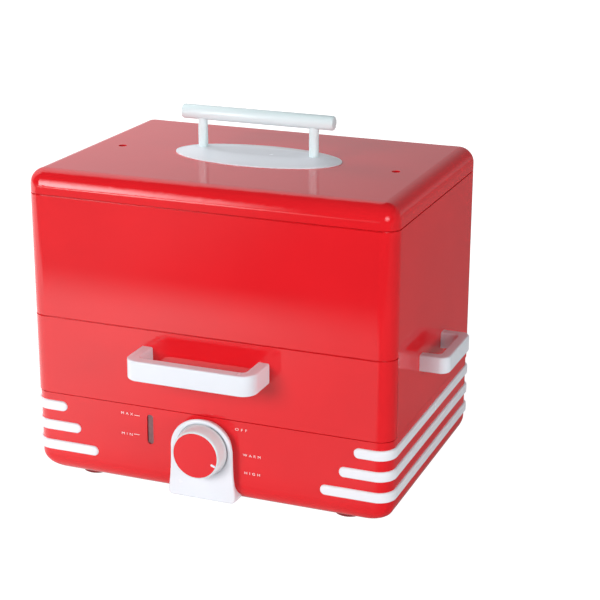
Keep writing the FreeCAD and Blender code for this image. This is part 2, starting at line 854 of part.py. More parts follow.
def make_housing_shell():
    """Walls from the base to the lid, open in front for the drawer, with a ledge for the upper tray."""
    shell = band(0.0, shell_wall, housing_bottom_z, lid_seam_z)
    ledge_top = mid_seam_z + shell_wall
    shell = shell.fuse(band(shell_wall / 2, shell_wall + inner_ledge_reach, mid_seam_z, ledge_top))
    half = body_width
    mouth_low = housing_bottom_z - overcut
    shell = shell.cut(box(-half, half, front_y - overcut, drawer_seam_y, mouth_low, mid_seam_z))
    shell = shell.cut(seam_relief(lid_seam_z - relief, lid_seam_z))
    shell = shell.cut(seam_relief(housing_bottom_z, housing_bottom_z + relief))
    above_drawer = box(-half, half, front_y - 2 * overcut, drawer_seam_y, mid_seam_z - overcut, lid_top_z)
    shell = shell.cut(seam_relief(mid_seam_z, mid_seam_z + relief).common(above_drawer))
    for side in (-1, 1):
        for y in side_screw_places():
            start = Vector(side * (body_width / 2 - shell_wall), y, side_handle_z)
            hole = drill(handle_screw_radius + part_clearance, shell_wall, start, X_AXIS * side)
            shell = shell.cut(hole)
        for place in runner_screw_places():
            start = Vector(side * place.x, place.y, place.z)
            pilot_length = runner_screw_length + part_clearance
            pilot = Part.makeCylinder(screw_radius + part_clearance, pilot_length, start, X_AXIS * side)
            shell = shell.cut(pilot)
    return one_solid(shell)


def seam_relief(low, high):
    """Shallow groove all round the body, which draws a dark line at a seam."""
    return band(-overcut, seam_depth, low, high)


def side_screw_places():
    """Y of the two screws of a side handle."""
    reach = side_handle_length / 2 - side_handle_band / 2
    return [side_handle_y - reach, side_handle_y + reach]


def grip(length, reach, height, thickness, corner, wall):
    """Handle with two legs from y = 0 and a bar across their front ends, screwed on through a wall."""
    half = length / 2
    inner_half = half - thickness
    inner_reach = reach - thickness
    inner = handle_inner_corner
    k = 1 - math.cos(math.radians(45))
    z = -height / 2

    def point(x, y):
        return Vector(x, y, z)

    edges = [
        Part.LineSegment(point(-half, 0), point(-half, corner - reach)),
        Part.Arc(
            point(-half, corner - reach),
            point(-half + corner * k, -reach + corner * k),
            point(-half + corner, -reach),
        ),
        Part.LineSegment(point(-half + corner, -reach), point(half - corner, -reach)),
        Part.Arc(
            point(half - corner, -reach),
            point(half - corner * k, -reach + corner * k),
            point(half, corner - reach),
        ),
        Part.LineSegment(point(half, corner - reach), point(half, 0)),
        Part.LineSegment(point(half, 0), point(inner_half, 0)),
        Part.LineSegment(point(inner_half, 0), point(inner_half, inner - inner_reach)),
        Part.Arc(
            point(inner_half, inner - inner_reach),
            point(inner_half - inner * k, -inner_reach + inner * k),
            point(inner_half - inner, -inner_reach),
        ),
        Part.LineSegment(point(inner_half - inner, -inner_reach), point(inner - inner_half, -inner_reach)),
        Part.Arc(
            point(inner - inner_half, -inner_reach),
            point(-inner_half + inner * k, -inner_reach + inner * k),
            point(-inner_half, inner - inner_reach),
        ),
        Part.LineSegment(point(-inner_half, inner - inner_reach), point(-inner_half, 0)),
        Part.LineSegment(point(-inner_half, 0), point(-half, 0)),
    ]
    wire = Part.Wire([edge.toShape() for edge in edges])
    bar = Part.Face(wire).extrude(Vector(0, 0, height))

    def along_bar(edge):
        return is_level(edge) and edge.BoundBox.YMin < -TINY

    bar = round_edges(bar, handle_edge_round, along_bar)
    pilot_length = handle_screw_length - wall
    for x in (-half + thickness / 2, half - thickness / 2):
        start = Vector(x, -pilot_length, 0)
        bar = bar.cut(Part.makeCylinder(handle_screw_radius + part_clearance, pilot_length, start, Y_AXIS))
    return bar


def make_side_handle(side):
    """White grip on one side wall."""
    handle = grip(
        side_handle_length,
        side_handle_reach,
        side_handle_height,
        side_handle_band,
        side_handle_corner,
        shell_wall,
    )
    handle.rotate(ORIGIN, Z_AXIS, 90 * side)
    handle.translate(Vector(side * body_width / 2, side_handle_y, side_handle_z))
    return handle


def make_side_handle_screws():
    """Four screws from inside the housing, two to each side handle."""
    screws = []
    for side in (-1, 1):
        for y in side_screw_places():
            head = Vector(side * (body_width / 2 - shell_wall), y, side_handle_z)
            screws.append(handle_screw(head, X_AXIS * side))
    return screws


def make_runner(side):
    """Channel on one side wall that the drawer's rim slides in."""
    wall_x = body_width / 2 - shell_wall
    start_y, end_y = runner_ends()
    slot_low = drawer_rim_z - seat_gap
    slot_high = drawer_rim_z + drawer_rim_thickness + seat_gap
    low = slot_high + runner_thickness - runner_height
    inner_x = wall_x - runner_thickness
    leg = box(inner_x, wall_x, start_y, end_y, low, slot_high + runner_thickness)
    tip_x = wall_x - runner_reach
    shelf = box(tip_x, inner_x, start_y, end_y, slot_low - runner_thickness, slot_low)
    keeper = box(tip_x, inner_x, start_y, end_y, slot_high, slot_high + runner_thickness)
    channel = leg.fuse(shelf).fuse(keeper)
    for place in runner_screw_places():
        channel = channel.cut(drill(screw_radius + part_clearance, runner_thickness, place, X_AXIS))
    channel = one_solid(channel)
    return channel if side > 0 else channel.mirror(ORIGIN, X_AXIS)


def runner_ends():
    """Front and back ends of the runners, clear of the body's rounded corners."""
    return drawer_seam_y + runner_front_gap, -front_y - corner_radius


def runner_screw_places():
    """Places on the wall, for the right side, of the screws that hold a runner."""
    start_y, end_y = runner_ends()
    z = drawer_rim_z - seat_gap - runner_thickness - runner_screw_drop
    x = body_width / 2 - shell_wall - runner_thickness
    return [Vector(x, start_y + runner_screw_inset, z), Vector(x, end_y - runner_screw_inset, z)]


def make_runner_screws():
    """Four short screws, two to each runner."""
    screws = []
    for place in runner_screw_places():
        piece = screw(
            place,
            X_AXIS,
            screw_radius,
            runner_screw_length,
            screw_head_radius,
            screw_head_height,
        )
        screws.append(piece)
        screws.append(piece.mirror(ORIGIN, X_AXIS))
    return screws


def front_screw_places():
    """X of the two screws of the front handle."""
    reach = front_handle_length / 2 - front_handle_band / 2
    return [-reach, reach]


def make_drawer_front():
    """Drawer panel that wraps both front corners."""
    low = base_seam_z + seat_gap
    high = mid_seam_z - seat_gap
    panel = band(0.0, drawer_wall, low, high)
    half = body_width
    end_y = drawer_seam_y - drawer_side_gap
    panel = panel.common(box(-half, half, front_y - overcut, end_y, low - overcut, high + overcut))
    panel = panel.cut(seam_relief(high - relief, high))
    panel = panel.cut(seam_relief(low, low + relief))
    for x in front_screw_places():
        start = Vector(x, front_y, front_handle_z)
        panel = panel.cut(drill(handle_screw_radius + part_clearance, drawer_wall, start, Y_AXIS))
    return one_solid(panel)


def perforations(floor_z):
    """Pattern of slots that lets the steam through a tray's floor."""
    low = floor_z - overcut
    high = floor_z + sheet + overcut
    slots = []
    for x in grid(tray_slot_count_x, tray_slot_pitch_x):
        for y in grid(tray_slot_count_y, tray_slot_pitch_y):
            slots.append(upright_slot(tray_slot_length, tray_slot_width, x, y, low, high))
    return Part.makeCompound(slots)


def make_drawer_tray():
    """Walls of the tray behind the drawer front, hung by their rim in the runners."""
    wall_low = drawer_floor_z + sheet
    top = drawer_rim_z + drawer_rim_thickness
    walls = block(drawer_tray_width, drawer_tray_depth, drawer_tray_corner, wall_low, top)
    rim = block(2 * drawer_rim_half, drawer_tray_depth, drawer_tray_corner, drawer_rim_z, top)
    rim_start = drawer_rim_front_gap - drawer_tray_depth / 2
    rim = rim.cut(box(-body_width, body_width, -body_depth, rim_start, 0, lid_top_z))
    inside = block(
        drawer_tray_width - 2 * sheet,
        drawer_tray_depth - 2 * sheet,
        drawer_tray_corner - sheet,
        wall_low - overcut,
        top + overcut,
    )
    tray = walls.fuse(rim).cut(inside)
    tray.translate(Vector(0, drawer_tray_y, 0))
    for x in front_screw_places():
        place = Vector(x, drawer_inner_y, front_handle_z)
        tray = tray.cut(drill(handle_screw_head_radius + slide_clearance, sheet, place, Y_AXIS))
    return one_solid(tray)


def make_drawer_floor():
    """Perforated sheet welded under the tray's walls, which the food lies on."""
    top = drawer_floor_z + sheet
    floor = block(drawer_tray_width, drawer_tray_depth, drawer_tray_corner, drawer_floor_z, top)
    floor = floor.cut(perforations(drawer_floor_z))
    floor.translate(Vector(0, drawer_tray_y, 0))
    return floor


def divider(width, height, floor_z, centre_y):
    """Folded plate that parts a tray's floor in two, with a foot along its lower edge."""
    plate = box(-width / 2, width / 2, -sheet / 2, sheet / 2, floor_z, floor_z + height)
    foot = box(-width / 2, width / 2, -sheet / 2, divider_foot, floor_z, floor_z + sheet)
    piece = one_solid(plate.fuse(foot))
    piece.translate(Vector(0, centre_y, 0))
    return piece


def make_drawer_divider():
    """Divider in the drawer's tray."""
    width = drawer_tray_width - 2 * sheet - 2 * slide_clearance
    return divider(width, divider_height, drawer_floor_z + sheet, drawer_tray_y)


def make_front_handle():
    """White grip on the drawer front."""
    handle = grip(
        front_handle_length,
        front_handle_reach,
        front_handle_height,
        front_handle_band,
        front_handle_corner,
        drawer_wall,
    )
    handle.translate(Vector(0, front_y, front_handle_z))
    return handle


def make_front_handle_screws():
    """Two screws from inside the drawer."""
    screws = []
    for x in front_screw_places():
        head = Vector(x, drawer_inner_y, front_handle_z)
        screws.append(handle_screw(head, Y_AXIS * -1))
    return screws


def make_upper_tray():
    """Lift-out tray on the housing's ledge, with a lip to lift it by at each end."""
    offset = shell_wall + upper_tray_gap
    low = mid_seam_z + shell_wall + seat_gap
    high = low + upper_tray_height
    width = body_width - 2 * offset
    depth = body_depth - 2 * offset
    tray = block(width, depth, upper_tray_corner, low, high)
    tray = tray.cut(
        block(width - 2 * sheet, depth - 2 * sheet, upper_tray_corner - sheet, low + sheet, high + overcut)
    )
    for side in (-1, 1):
        lip = block(lift_lip_reach + sheet, lift_lip_length, lift_lip_corner, high - sheet, high)
        lip.translate(Vector(side * (width - lift_lip_reach) / 2, 0, 0))
        tray = tray.fuse(lip.common(block(width, depth, upper_tray_corner, low, high)))
    return one_solid(tray.cut(perforations(low)))


def make_upper_divider():
    """Divider in the upper tray."""
    offset = shell_wall + upper_tray_gap + sheet + slide_clearance
    low = mid_seam_z + shell_wall + seat_gap + sheet
    return divider(body_width - 2 * offset, upper_divider_height, low, 0)


def lid_body(inset, low):
    """Solid that follows the lid's outside, drawn in by inset, from low to the top."""
    width = body_width - 2 * inset
    depth = body_depth - 2 * inset
    corner = corner_radius - inset
    side_z = lid_seam_z + seat_gap + lid_straight
    crown = rolled_end(
        width, depth, corner, lid_corner_growth, lid_roll - inset, side_z, lid_top_z - inset
    )
    return crown.fuse(block(width, depth, corner, low, side_z))


def make_lid_shell():
    """Moulded lid with rounded edges and corners, a locating skirt below and two steam vents."""
    low = lid_seam_z + seat_gap
    shell = lid_body(0.0, low).cut(lid_body(shell_wall, low - overcut))
    skirt_offset = shell_wall + slide_clearance
    skirt_low = lid_seam_z - skirt_height
    skirt = band(skirt_offset, skirt_offset + skirt_wall, skirt_low, low + skirt_root)
    root = band(shell_wall / 2, skirt_offset + skirt_wall, low, low + skirt_root)
    shell = shell.fuse(skirt.fuse(root).common(lid_body(shell_wall / 2, skirt_low - overcut)))
    shell = shell.cut(seam_relief(low, low + relief))
    inner_z = lid_top_z - shell_wall
    for x in (-steam_vent_x, steam_vent_x):
        vent = Vector(x, steam_vent_y, inner_z)
        shell = shell.cut(drill(steam_vent_radius, shell_wall, vent, Z_AXIS))
    for x in post_places():
        shell = shell.cut(drill(screw_radius + part_clearance, shell_wall, Vector(x, 0, inner_z), Z_AXIS))
    return one_solid(shell)


def post_places():
    """X of the two posts of the lid's handle."""
    return [-post_spacing / 2, post_spacing / 2]


def ellipse(length, width, level):
    """Closed wire of an oval about the Z axis."""
    curve = Part.Ellipse(Vector(0, 0, level), length / 2, width / 2)
    return Part.Wire(curve.toShape())


def make_handle_plate():
    """Oval plate whose edge slopes up from the lid to a flat middle."""
    low = lid_top_z
    edge = Part.Face(ellipse(plate_length, plate_width, low)).extrude(Vector(0, 0, plate_edge_height))
    steps = 4
    sections = []
    for step in range(steps + 1):
        part = step / steps
        rise = math.sin(math.radians(90 * part))
        length = plate_length + (plate_flat_length - plate_length) * part
        width = plate_width + (plate_flat_width - plate_width) * part
        level = low + plate_edge_height + (plate_height - plate_edge_height) * rise
        sections.append(ellipse(length, width, level))
    plate = one_solid(edge.fuse(Part.makeLoft(sections, True, False)))
    for x in post_places():
        plate = plate.cut(drill(screw_radius + part_clearance, plate_height, Vector(x, 0, low), Z_AXIS))
    return plate


def rod_axis_z():
    """Height of the rod's axis."""
    return lid_top_z + rod_height


def make_handle_rod():
    """Round bar that the hand holds."""
    start = Vector(-rod_length / 2, 0, rod_axis_z())
    rod = Part.makeCylinder(rod_radius, rod_length, start, X_AXIS)
    return round_edges(rod, rod_end_round, lambda edge: edge.BoundBox.XMax - edge.BoundBox.XMin < TINY)


def make_handle_post(x):
    """Post from the plate up to the rod, cut to the rod's curve."""
    low = lid_top_z + plate_height
    post = Part.makeCylinder(post_radius, rod_axis_z() - low, Vector(x, 0, low))
    rod = Part.makeCylinder(rod_radius, rod_length, Vector(-rod_length / 2, 0, rod_axis_z()), X_AXIS)
    pilot = Part.makeCylinder(screw_radius + part_clearance, screw_length, Vector(x, 0, low))
    return post.cut(rod).cut(pilot)


def make_handle_screws():
    """Two screws from inside the lid, up through the plate into the posts."""
    screws = []
    length = shell_wall + plate_height + screw_length - screw_tip_gap
    for x in post_places():
        head = Vector(x, 0, lid_top_z - shell_wall)
        screws.append(screw(head, Z_AXIS, screw_radius, length, screw_head_radius, screw_head_height))
    return screws


def build_base():
    """Everything that stays on the table."""
    save("base_shell", make_base_shell())
    save("bottom_plate", make_bottom_plate())
    save("bottom_plate_screws", *make_bottom_plate_screws())
    names = ("foot_front_left", "foot_front_right", "foot_rear_left", "foot_rear_right")
    for name, (x, y) in zip(names, corners(foot_spacing_x, foot_spacing_y)):
        save(name, make_foot(x, y))
    save("foot_screws", *make_foot_screws())
    save("reservoir", make_reservoir())
    save("heater_plate", make_heater_plate())
    save("heating_element", element_ring(element_radius))
    save("heater_clamp", make_heater_clamp())
    save("heater_clamp_screw", make_heater_clamp_screw())
    save("thermal_fuse", make_thermal_fuse())
    save("terminal_block", make_terminal_block())
    save("thermostat", make_thermostat())
    save("thermostat_nut", make_thermostat_nut())
    save("water_window", make_water_window())
    save("window_gasket", make_window_gasket())
    save("knob_bezel", make_knob_bezel())
    save("trim_strips_left", *make_trim_strips(-1))
    save("trim_strips_right", *make_trim_strips(1))
    save("cord_gland", make_cord_gland())


def build_knob():
    """What turns on the thermostat's axis."""
    save("knob_body", make_knob_body())
    save("knob_face", make_knob_face())
    save("knob_pointer", make_knob_pointer())
    save("knob_shaft", make_knob_shaft())


def build_housing():
    """What lifts off the base by the side handles."""
    save("housing_shell", make_housing_shell())
    save("side_handle_left", make_side_handle(-1))
    save("side_handle_right", make_side_handle(1))
    save("side_handle_screws", *make_side_handle_screws())
    save("drawer_runner_left", make_runner(-1))
    save("drawer_runner_right", make_runner(1))
    save("runner_screws", *make_runner_screws())


def build_drawer():
    """What slides out to the front."""
    save("drawer_front", make_drawer_front())
    save("drawer_tray", make_drawer_tray())
    save("drawer_floor", make_drawer_floor())
    save("drawer_divider", make_drawer_divider())
    save("front_handle", make_front_handle())
    save("front_handle_screws", *make_front_handle_screws())


def build_lid():
    """What lifts off the top."""
    save("lid_shell", make_lid_shell())
    save("lid_handle_plate", make_handle_plate())
    save("lid_handle_post_left", make_handle_post(post_places()[0]))
    save("lid_handle_post_right", make_handle_post(post_places()[1]))
    save("lid_handle_rod", make_handle_rod())
    save("lid_handle_screws", *make_handle_screws())


def build_trays():
    """The two trays that lift out by themselves."""
    save("drip_tray", make_drip_tray())
    save("upper_tray", make_upper_tray())
    save("upper_tray_divider", make_upper_divider())


os.makedirs("parts", exist_ok=True)
build_base()
build_knob()
build_housing()
build_drawer()
build_lid()
build_trays()
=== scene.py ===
"""Looks of a table-top hot dog steamer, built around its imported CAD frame.

The body is moulded in glossy red ABS, with white grips, trim and knob. CAD nodes keep their shapes
and get their finishes here. The knob, its surround, the lid's plate and bar, the feet, the trim
strips, the screws and the printed marks are built here, and each rides on the frame's body that
carries it. The object's sizes are in millimetres and the studio's in metres.
"""

import logging
import math
from collections.abc import Iterable, Mapping, Sequence
from dataclasses import dataclass, field
from enum import Enum
from itertools import accumulate
from typing import Any

import bmesh
import bpy
from bpy.types import ID, Material, Mesh, Node, NodeSocket, NodeTree, Object
from mathutils import Euler, Matrix, Vector


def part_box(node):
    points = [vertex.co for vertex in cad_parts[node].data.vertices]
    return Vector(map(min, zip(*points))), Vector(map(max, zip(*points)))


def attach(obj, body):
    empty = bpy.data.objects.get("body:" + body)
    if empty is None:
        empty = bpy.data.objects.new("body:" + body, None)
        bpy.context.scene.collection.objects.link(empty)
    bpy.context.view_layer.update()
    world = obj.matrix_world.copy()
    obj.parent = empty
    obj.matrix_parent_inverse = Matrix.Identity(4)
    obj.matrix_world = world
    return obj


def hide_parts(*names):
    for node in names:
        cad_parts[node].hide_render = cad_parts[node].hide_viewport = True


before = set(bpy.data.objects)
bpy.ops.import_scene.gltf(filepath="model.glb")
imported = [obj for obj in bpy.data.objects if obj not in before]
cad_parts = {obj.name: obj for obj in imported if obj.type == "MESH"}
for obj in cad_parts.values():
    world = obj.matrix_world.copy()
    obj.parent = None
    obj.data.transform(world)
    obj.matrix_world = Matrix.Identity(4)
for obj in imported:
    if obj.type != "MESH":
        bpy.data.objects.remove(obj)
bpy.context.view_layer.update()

LOG = logging.getLogger("steamer")
MM = 0.001
KNOB_AXIS_Z = 47.8

Pair = tuple[float, float]
Triple = tuple[float, float, float]
Fade = tuple[float, float, float, float]
Sockets = tuple[NodeSocket, NodeSocket]
Values = Mapping[str, Any]


class Slot(Enum):
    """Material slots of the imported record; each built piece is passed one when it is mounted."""

    RED_SHELL = "red_shell"
    WHITE_PLASTIC = "white_plastic"
    RUBBER = "rubber"
    ZINC_STEEL = "zinc_steel"


class Side(Enum):
    """Left or right side of the body, seen from the front."""

    LEFT = -1
    RIGHT = 1


def linear(colour: str) -> tuple[float, float, float, float]:
    """Turn an sRGB hex colour to linear.

    Args:
        colour: Six hex digits after a hash.

    Returns:
        Linear red, green, blue and an alpha of 1.
    """
    channels = [int(colour[place:place + 2], 16) / 255 for place in (1, 3, 5)]
    low_end, slope, offset, power = 0.04045, 12.92, 0.055, 2.4
    values = [c / slope if c <= low_end else ((c + offset) / (1 + offset)) ** power for c in channels]
    return (*values, 1.0)


def per(size_mm: float) -> float:
    """Scale of a texture whose features are size_mm across."""
    return 1 / (size_mm * MM)


def add(tree: NodeTree, kind: str, values: Values | None = None, **settings: Any) -> Node:
    """Add a node to a tree, with its settings, its links and its constants.

    Args:
        tree: Shader or geometry tree.
        kind: Node type.
        values: Input by name or identifier, either a constant or the socket that feeds it.
        **settings: Properties of the node, set first.

    Returns:
        The new node.
    """
    node = tree.nodes.new(kind)
    for name, value in settings.items():
        setattr(node, name, value)
    sockets = {socket.name: socket for socket in reversed(node.inputs)}
    sockets.update({socket.identifier: socket for socket in node.inputs})
    for name, value in (values or {}).items():
        if isinstance(value, NodeSocket):
            tree.links.new(value, sockets[name])
        else:
            sockets[name].default_value = value
    return node


class Graph:
    """A node tree as it is put together. Its methods take sockets or constants."""

    def __init__(self, tree: NodeTree) -> None:
        """Take a tree and clear it."""
        self.tree = tree
        tree.nodes.clear()

    def put(self, kind: str, output: str | int, values: Values | None = None, **settings: Any) -> NodeSocket:
        """Add a node, as add does, and return one of its outputs by name or number."""
        return add(self.tree, kind, values, **settings).outputs[output]

    def sum(self, operation: str, first: Any, second: Any = 0.0, clamp: bool = False) -> NodeSocket:
        """Result of one sum."""
        values = {"Value": first, "Value_001": second}
        return self.put("ShaderNodeMath", 0, values, operation=operation, use_clamp=clamp)

    def vector(self, operation: str, first: Any, second: Any = (0, 0, 0)) -> NodeSocket:
        """Result of one vector sum: a vector, or a value for a length."""
        output = "Value" if operation == "LENGTH" else "Vector"
        values = {"Vector": first, "Vector_001": second}
        return self.put("ShaderNodeVectorMath", output, values, operation=operation)

    def parts(self, vector: NodeSocket) -> Any:
        """X, Y and Z of a vector, by name."""
        return add(self.tree, "ShaderNodeSeparateXYZ", {"Vector": vector}).outputs

    def ramp(self, value: Any, start: float, end: float, low: Any, high: Any, soft: bool = True) -> NodeSocket:
        """Change from low at start to high at end and no further, with or without soft ends."""
        ends = {"Value": value, "From Min": start, "From Max": end, "To Min": low, "To Max": high}
        way = "SMOOTHSTEP" if soft else "LINEAR"
        return self.put("ShaderNodeMapRange", "Result", ends, interpolation_type=way)


class Pattern(Graph):
    """Tree of one material, whose patterns read the object's own coordinates."""

    def __init__(self, tree: NodeTree) -> None:
        """Start from the coordinates."""
        super().__init__(tree)
        self.where = self.put("ShaderNodeTexCoord", "Object")

    def noise(self, size_mm: float, detail: float = 2.0) -> NodeSocket:
        """Noise around 0.5, with patches size_mm across and detail octaves."""
        values = {"Vector": self.where, "Scale": per(size_mm), "Detail": detail}
        return self.put("ShaderNodeTexNoise", "Fac", values)

    def spread(self, value: NodeSocket, low: float = 0.0, high: float = 1.0) -> NodeSocket:
        """Stretch a noise's middle band to the range from low to high."""
        band = (0.3, 0.7)
        return self.ramp(value, *band, low, high, soft=False)

    def relief(self, height: NodeSocket, depth_mm: float) -> NodeSocket:
        """Bump of depth_mm from a height of 0 to 1, as a normal."""
        return self.put("ShaderNodeBump", "Normal", {"Height": height, "Distance": depth_mm * MM, "Strength": 1.0})


@dataclass(frozen=True)
class Finish:
    """A surface: two colours that drift into each other, a sheen that varies, and a fine relief."""

    name: str
    colour: str
    other_colour: str
    sheen: Pair = (0.35, 0.5)
    patch_mm: float = 18.0
    patch_detail: float = 3.0
    depth_mm: float = 0.01
    metallic: float = 0.0
    ior: float = 1.5
    clarity: float = 0.0

    def grain(self, pattern: Pattern, patch: NodeSocket) -> Sockets:
        """Patterns of the sheen, which is a range of roughness, and of the relief.

        Args:
            pattern: Tree of the material.
            patch: Share of the other colour.

        Returns:
            The pattern of the sheen and that of the relief.
        """
        raise NotImplementedError

    def make(self) -> Material:
        """Build the material and return it."""
        material = bpy.data.materials.new(self.name)
        material.use_nodes = True
        pattern = Pattern(material.node_tree)
        patch = pattern.spread(pattern.noise(self.patch_mm, self.patch_detail))
        sheen, relief = self.grain(pattern, patch)
        ends = {"Factor_Float": patch, "A_Color": linear(self.colour), "B_Color": linear(self.other_colour)}
        values = {
            "Base Color": pattern.put("ShaderNodeMix", 2, ends, data_type="RGBA"),
            "Metallic": self.metallic,
            "Roughness": pattern.spread(sheen, *self.sheen),
            "IOR": self.ior,
            "Transmission Weight": self.clarity,
            "Normal": pattern.relief(relief, self.depth_mm),
        }
        shader = pattern.put("ShaderNodeBsdfPrincipled", 0, values)
        add(pattern.tree, "ShaderNodeOutputMaterial", {"Surface": shader})
        return material


@dataclass(frozen=True)
class GlossAbs(Finish):
    """ABS, injection-moulded against a polished cavity."""

    sheen: Pair = (0.028, 0.04375)
    patch_mm: float = 70.0
    patch_detail: float = 2.0
    depth_mm: float = 0.004
    haze_mm: float = 24.0
    peel_mm: float = 5.0

    def grain(self, pattern: Pattern, patch: NodeSocket) -> Sockets:
        """A haze and an orange peel."""
        # The polished cavity leaves a mirror skin with a faint orange peel, so reflections keep their
        # edges and ripple slightly. The colour runs a touch deeper where the melt cooled last.
        return pattern.noise(self.haze_mm, 4.0), pattern.noise(self.peel_mm, 1.0)


@dataclass(frozen=True)
class SatinAbs(GlossAbs):
    """White ABS, injection-moulded against a finely lapped cavity, so that it mirrors more softly."""

    sheen: Pair = (0.176, 0.275)
    depth_mm: float = 0.002
    peel_mm: float = 9.0


@dataclass(frozen=True)
class TexturedMoulding(Finish):
    """Plastic moulded against a spark-eroded cavity."""

    patch_detail: float = 2.0
    depth_mm: float = 0.02
    crater_mm: float = 0.7

    def grain(self, pattern: Pattern, patch: NodeSocket) -> Sockets:
        """The patches again, and craters."""
        # Spark erosion leaves fine craters, so the surface is dull and breaks light up evenly. The
        # craters are drawn at about twice their real width, so that they show.
        values = {"Vector": pattern.where, "Scale": per(self.crater_mm)}
        return patch, pattern.put("ShaderNodeTexVoronoi", "Distance", values)


@dataclass(frozen=True)
class SheetMetal(Finish):
    """Aluminium sheet, rolled, then pressed to shape."""

    patch_mm: float = 35.0
    depth_mm: float = 0.012
    metallic: float = 1.0
    streak_mm: Triple = (80.0, 1.2, 1.2)

    def grain(self, pattern: Pattern, patch: NodeSocket) -> Sockets:
        """Streaks along the sheet, for both."""
        # Rolling draws the grain out along the sheet, so highlights stretch across it and the metal
        # looks finely lined. Handling leaves duller patches. Lines are drawn wider than life.
        values = {"Vector": pattern.where, "Scale": tuple(per(size) for size in self.streak_mm)}
        drawn = pattern.put("ShaderNodeMapping", "Vector", values)
        streak = pattern.put("ShaderNodeTexNoise", "Fac", {"Vector": drawn, "Scale": 1.0, "Detail": 3.0})
        return streak, streak


@dataclass(frozen=True)
class GrainyMetal(Finish):
    """Metal whose surface is mottled, by casting, plating or heat."""

    metallic: float = 1.0
    grain_mm: float = 1.0

    def grain(self, pattern: Pattern, patch: NodeSocket) -> Sockets:
        """A fine grain, for both."""
        # A casting's sand or die grain, a plating's crystals and a sheath's heat tint all show as
        # patches of slightly different colour over a fine grain.
        grain = pattern.noise(self.grain_mm)
        return grain, grain


@dataclass(frozen=True)
class SoftRubber(Finish):
    """Synthetic rubber, compression-moulded."""

    sheen: Pair = (0.6, 0.8)
    patch_mm: float = 9.0
    depth_mm: float = 0.03
    ior: float = 1.52
    pebble_mm: float = 0.8

    def grain(self, pattern: Pattern, patch: NodeSocket) -> Sockets:
        """The bloom's patches again, and pebbles."""
        # Rubber is dark and dull, with a paler bloom in patches and a fine pebbled skin.
        return patch, pattern.noise(self.pebble_mm)


@dataclass(frozen=True)
class ClearMoulding(Finish):
    """Smoke-tinted polycarbonate, moulded and polished. Its dull rose is partly painted shade, for the dim inside
    seen through it.
    """

    sheen: Pair = (0.1, 0.16)
    patch_mm: float = 3.0
    patch_detail: float = 1.0
    ior: float = 1.58
    clarity: float = 0.35

    def grain(self, pattern: Pattern, patch: NodeSocket) -> Sockets:
        """A ripple, for both."""
        # The lens is glassy but clouded by its tint, so it shows a dull rose with only a hint of the
        # dark inside, and a faint ripple where it cooled. The rose is partly painted shade: it stands
        # for the dim inside seen through the lens as well as for the smoke tint.
        ripple = pattern.noise(self.patch_mm, self.patch_detail)
        return ripple, ripple


@dataclass(frozen=True)
class PadPrint(Finish):
    """Ink, pad-printed on the moulding."""

    patch_mm: float = 0.9
    depth_mm: float = 0.004

    def grain(self, pattern: Pattern, patch: NodeSocket) -> Sockets:
        """The ink's cover, for both."""
        # The ink is flat and a little thin in places, where the red below warms it.
        return patch, patch


def made(finish: Finish) -> Any:
    """Field whose material is made with the palette."""
    return field(default_factory=finish.make)


@dataclass(frozen=True)
class Palette:
    """Every finish of the steamer, made once."""

    red: Material = made(GlossAbs("abs_red_polished_moulding", "#e31d25", "#de1b23"))
    knob_red: Material = made(GlossAbs("abs_red_knob_disc", "#e32028", "#df1d26", (0.112, 0.175)))
    white: Material = made(SatinAbs("abs_white_moulding", "#e9eef4", "#e6ebf1"))
    # Cooler than the plain white: painted light. Its tint cancels the red light that bounces onto the knob skirt,
    # bar and posts.
    grip_white_painted_cool: Material = made(SatinAbs("abs_white_grip", "#e1f1f3", "#dff0f2"))
    # Paler than the plain white: painted light, so that the trim strips stay bright on the shaded sides.
    trim_white_painted_bright: Material = made(SatinAbs("abs_white_trim", "#f0f4f9", "#edf1f6"))
    rubber: Material = made(SoftRubber("rubber_black_moulding", "#1c1c1e", "#2a2a2c"))
    # The feet's red is darker than their own colour: painted shade, for the shade under the base that they sit in.
    foot_rubber_painted_shade: Material = made(SoftRubber("rubber_dark_red_moulding", "#7c2126", "#86292d"))
    # The lens's rose is partly painted shade: it stands for the dim inside seen through the window.
    clear: Material = made(ClearMoulding("polycarbonate_smoke_moulding", "#9c6468", "#8c5a60"))
    sheet: Material = made(SheetMetal("aluminium_rolled_sheet", "#cfd1d2", "#bfc1c3", (0.225, 0.39)))
    cast: Material = made(
        GrainyMetal("aluminium_die_cast", "#b9babb", "#a9aaac", (0.384, 0.576), 14.0, depth_mm=0.03, grain_mm=1.3)
    )
    zinc: Material = made(
        GrainyMetal("steel_zinc_plated", "#c3c6c8", "#c9c5b4", (0.224, 0.336), 6.0, depth_mm=0.008, grain_mm=0.9)
    )
    sheath: Material = made(
        GrainyMetal("alloy_sheath_heat_tinted", "#77695c", "#565761", (0.336, 0.504), 12.0, grain_mm=0.8)
    )
    acetal: Material = made(TexturedMoulding("acetal_natural_moulding", "#d9d7cf", "#d2d0c8", (0.378, 0.462)))
    phenolic: Material = made(TexturedMoulding("phenolic_black_moulding", "#1d1c1b", "#252423", (0.45, 0.55)))
    print_ink: Material = made(PadPrint("ink_white_pad_print", "#f3f1f1", "#e9dcdc"))


def object_of(name: str, data: ID) -> Object:
    """Put a mesh, lamp, camera or text in the scene under a name and return its object."""
    piece = bpy.data.objects.new(name, data)
    bpy.context.scene.collection.objects.link(piece)
    return piece


def mesh_of(name: str, points: Iterable, faces: Iterable, edges: Iterable = ()) -> Mesh:
    """Make a mesh from points, faces and loose edges, and return it."""
    mesh = bpy.data.meshes.new(name)
    mesh.from_pydata([tuple(point) for point in points], list(edges), list(faces))
    mesh.update()
    return mesh


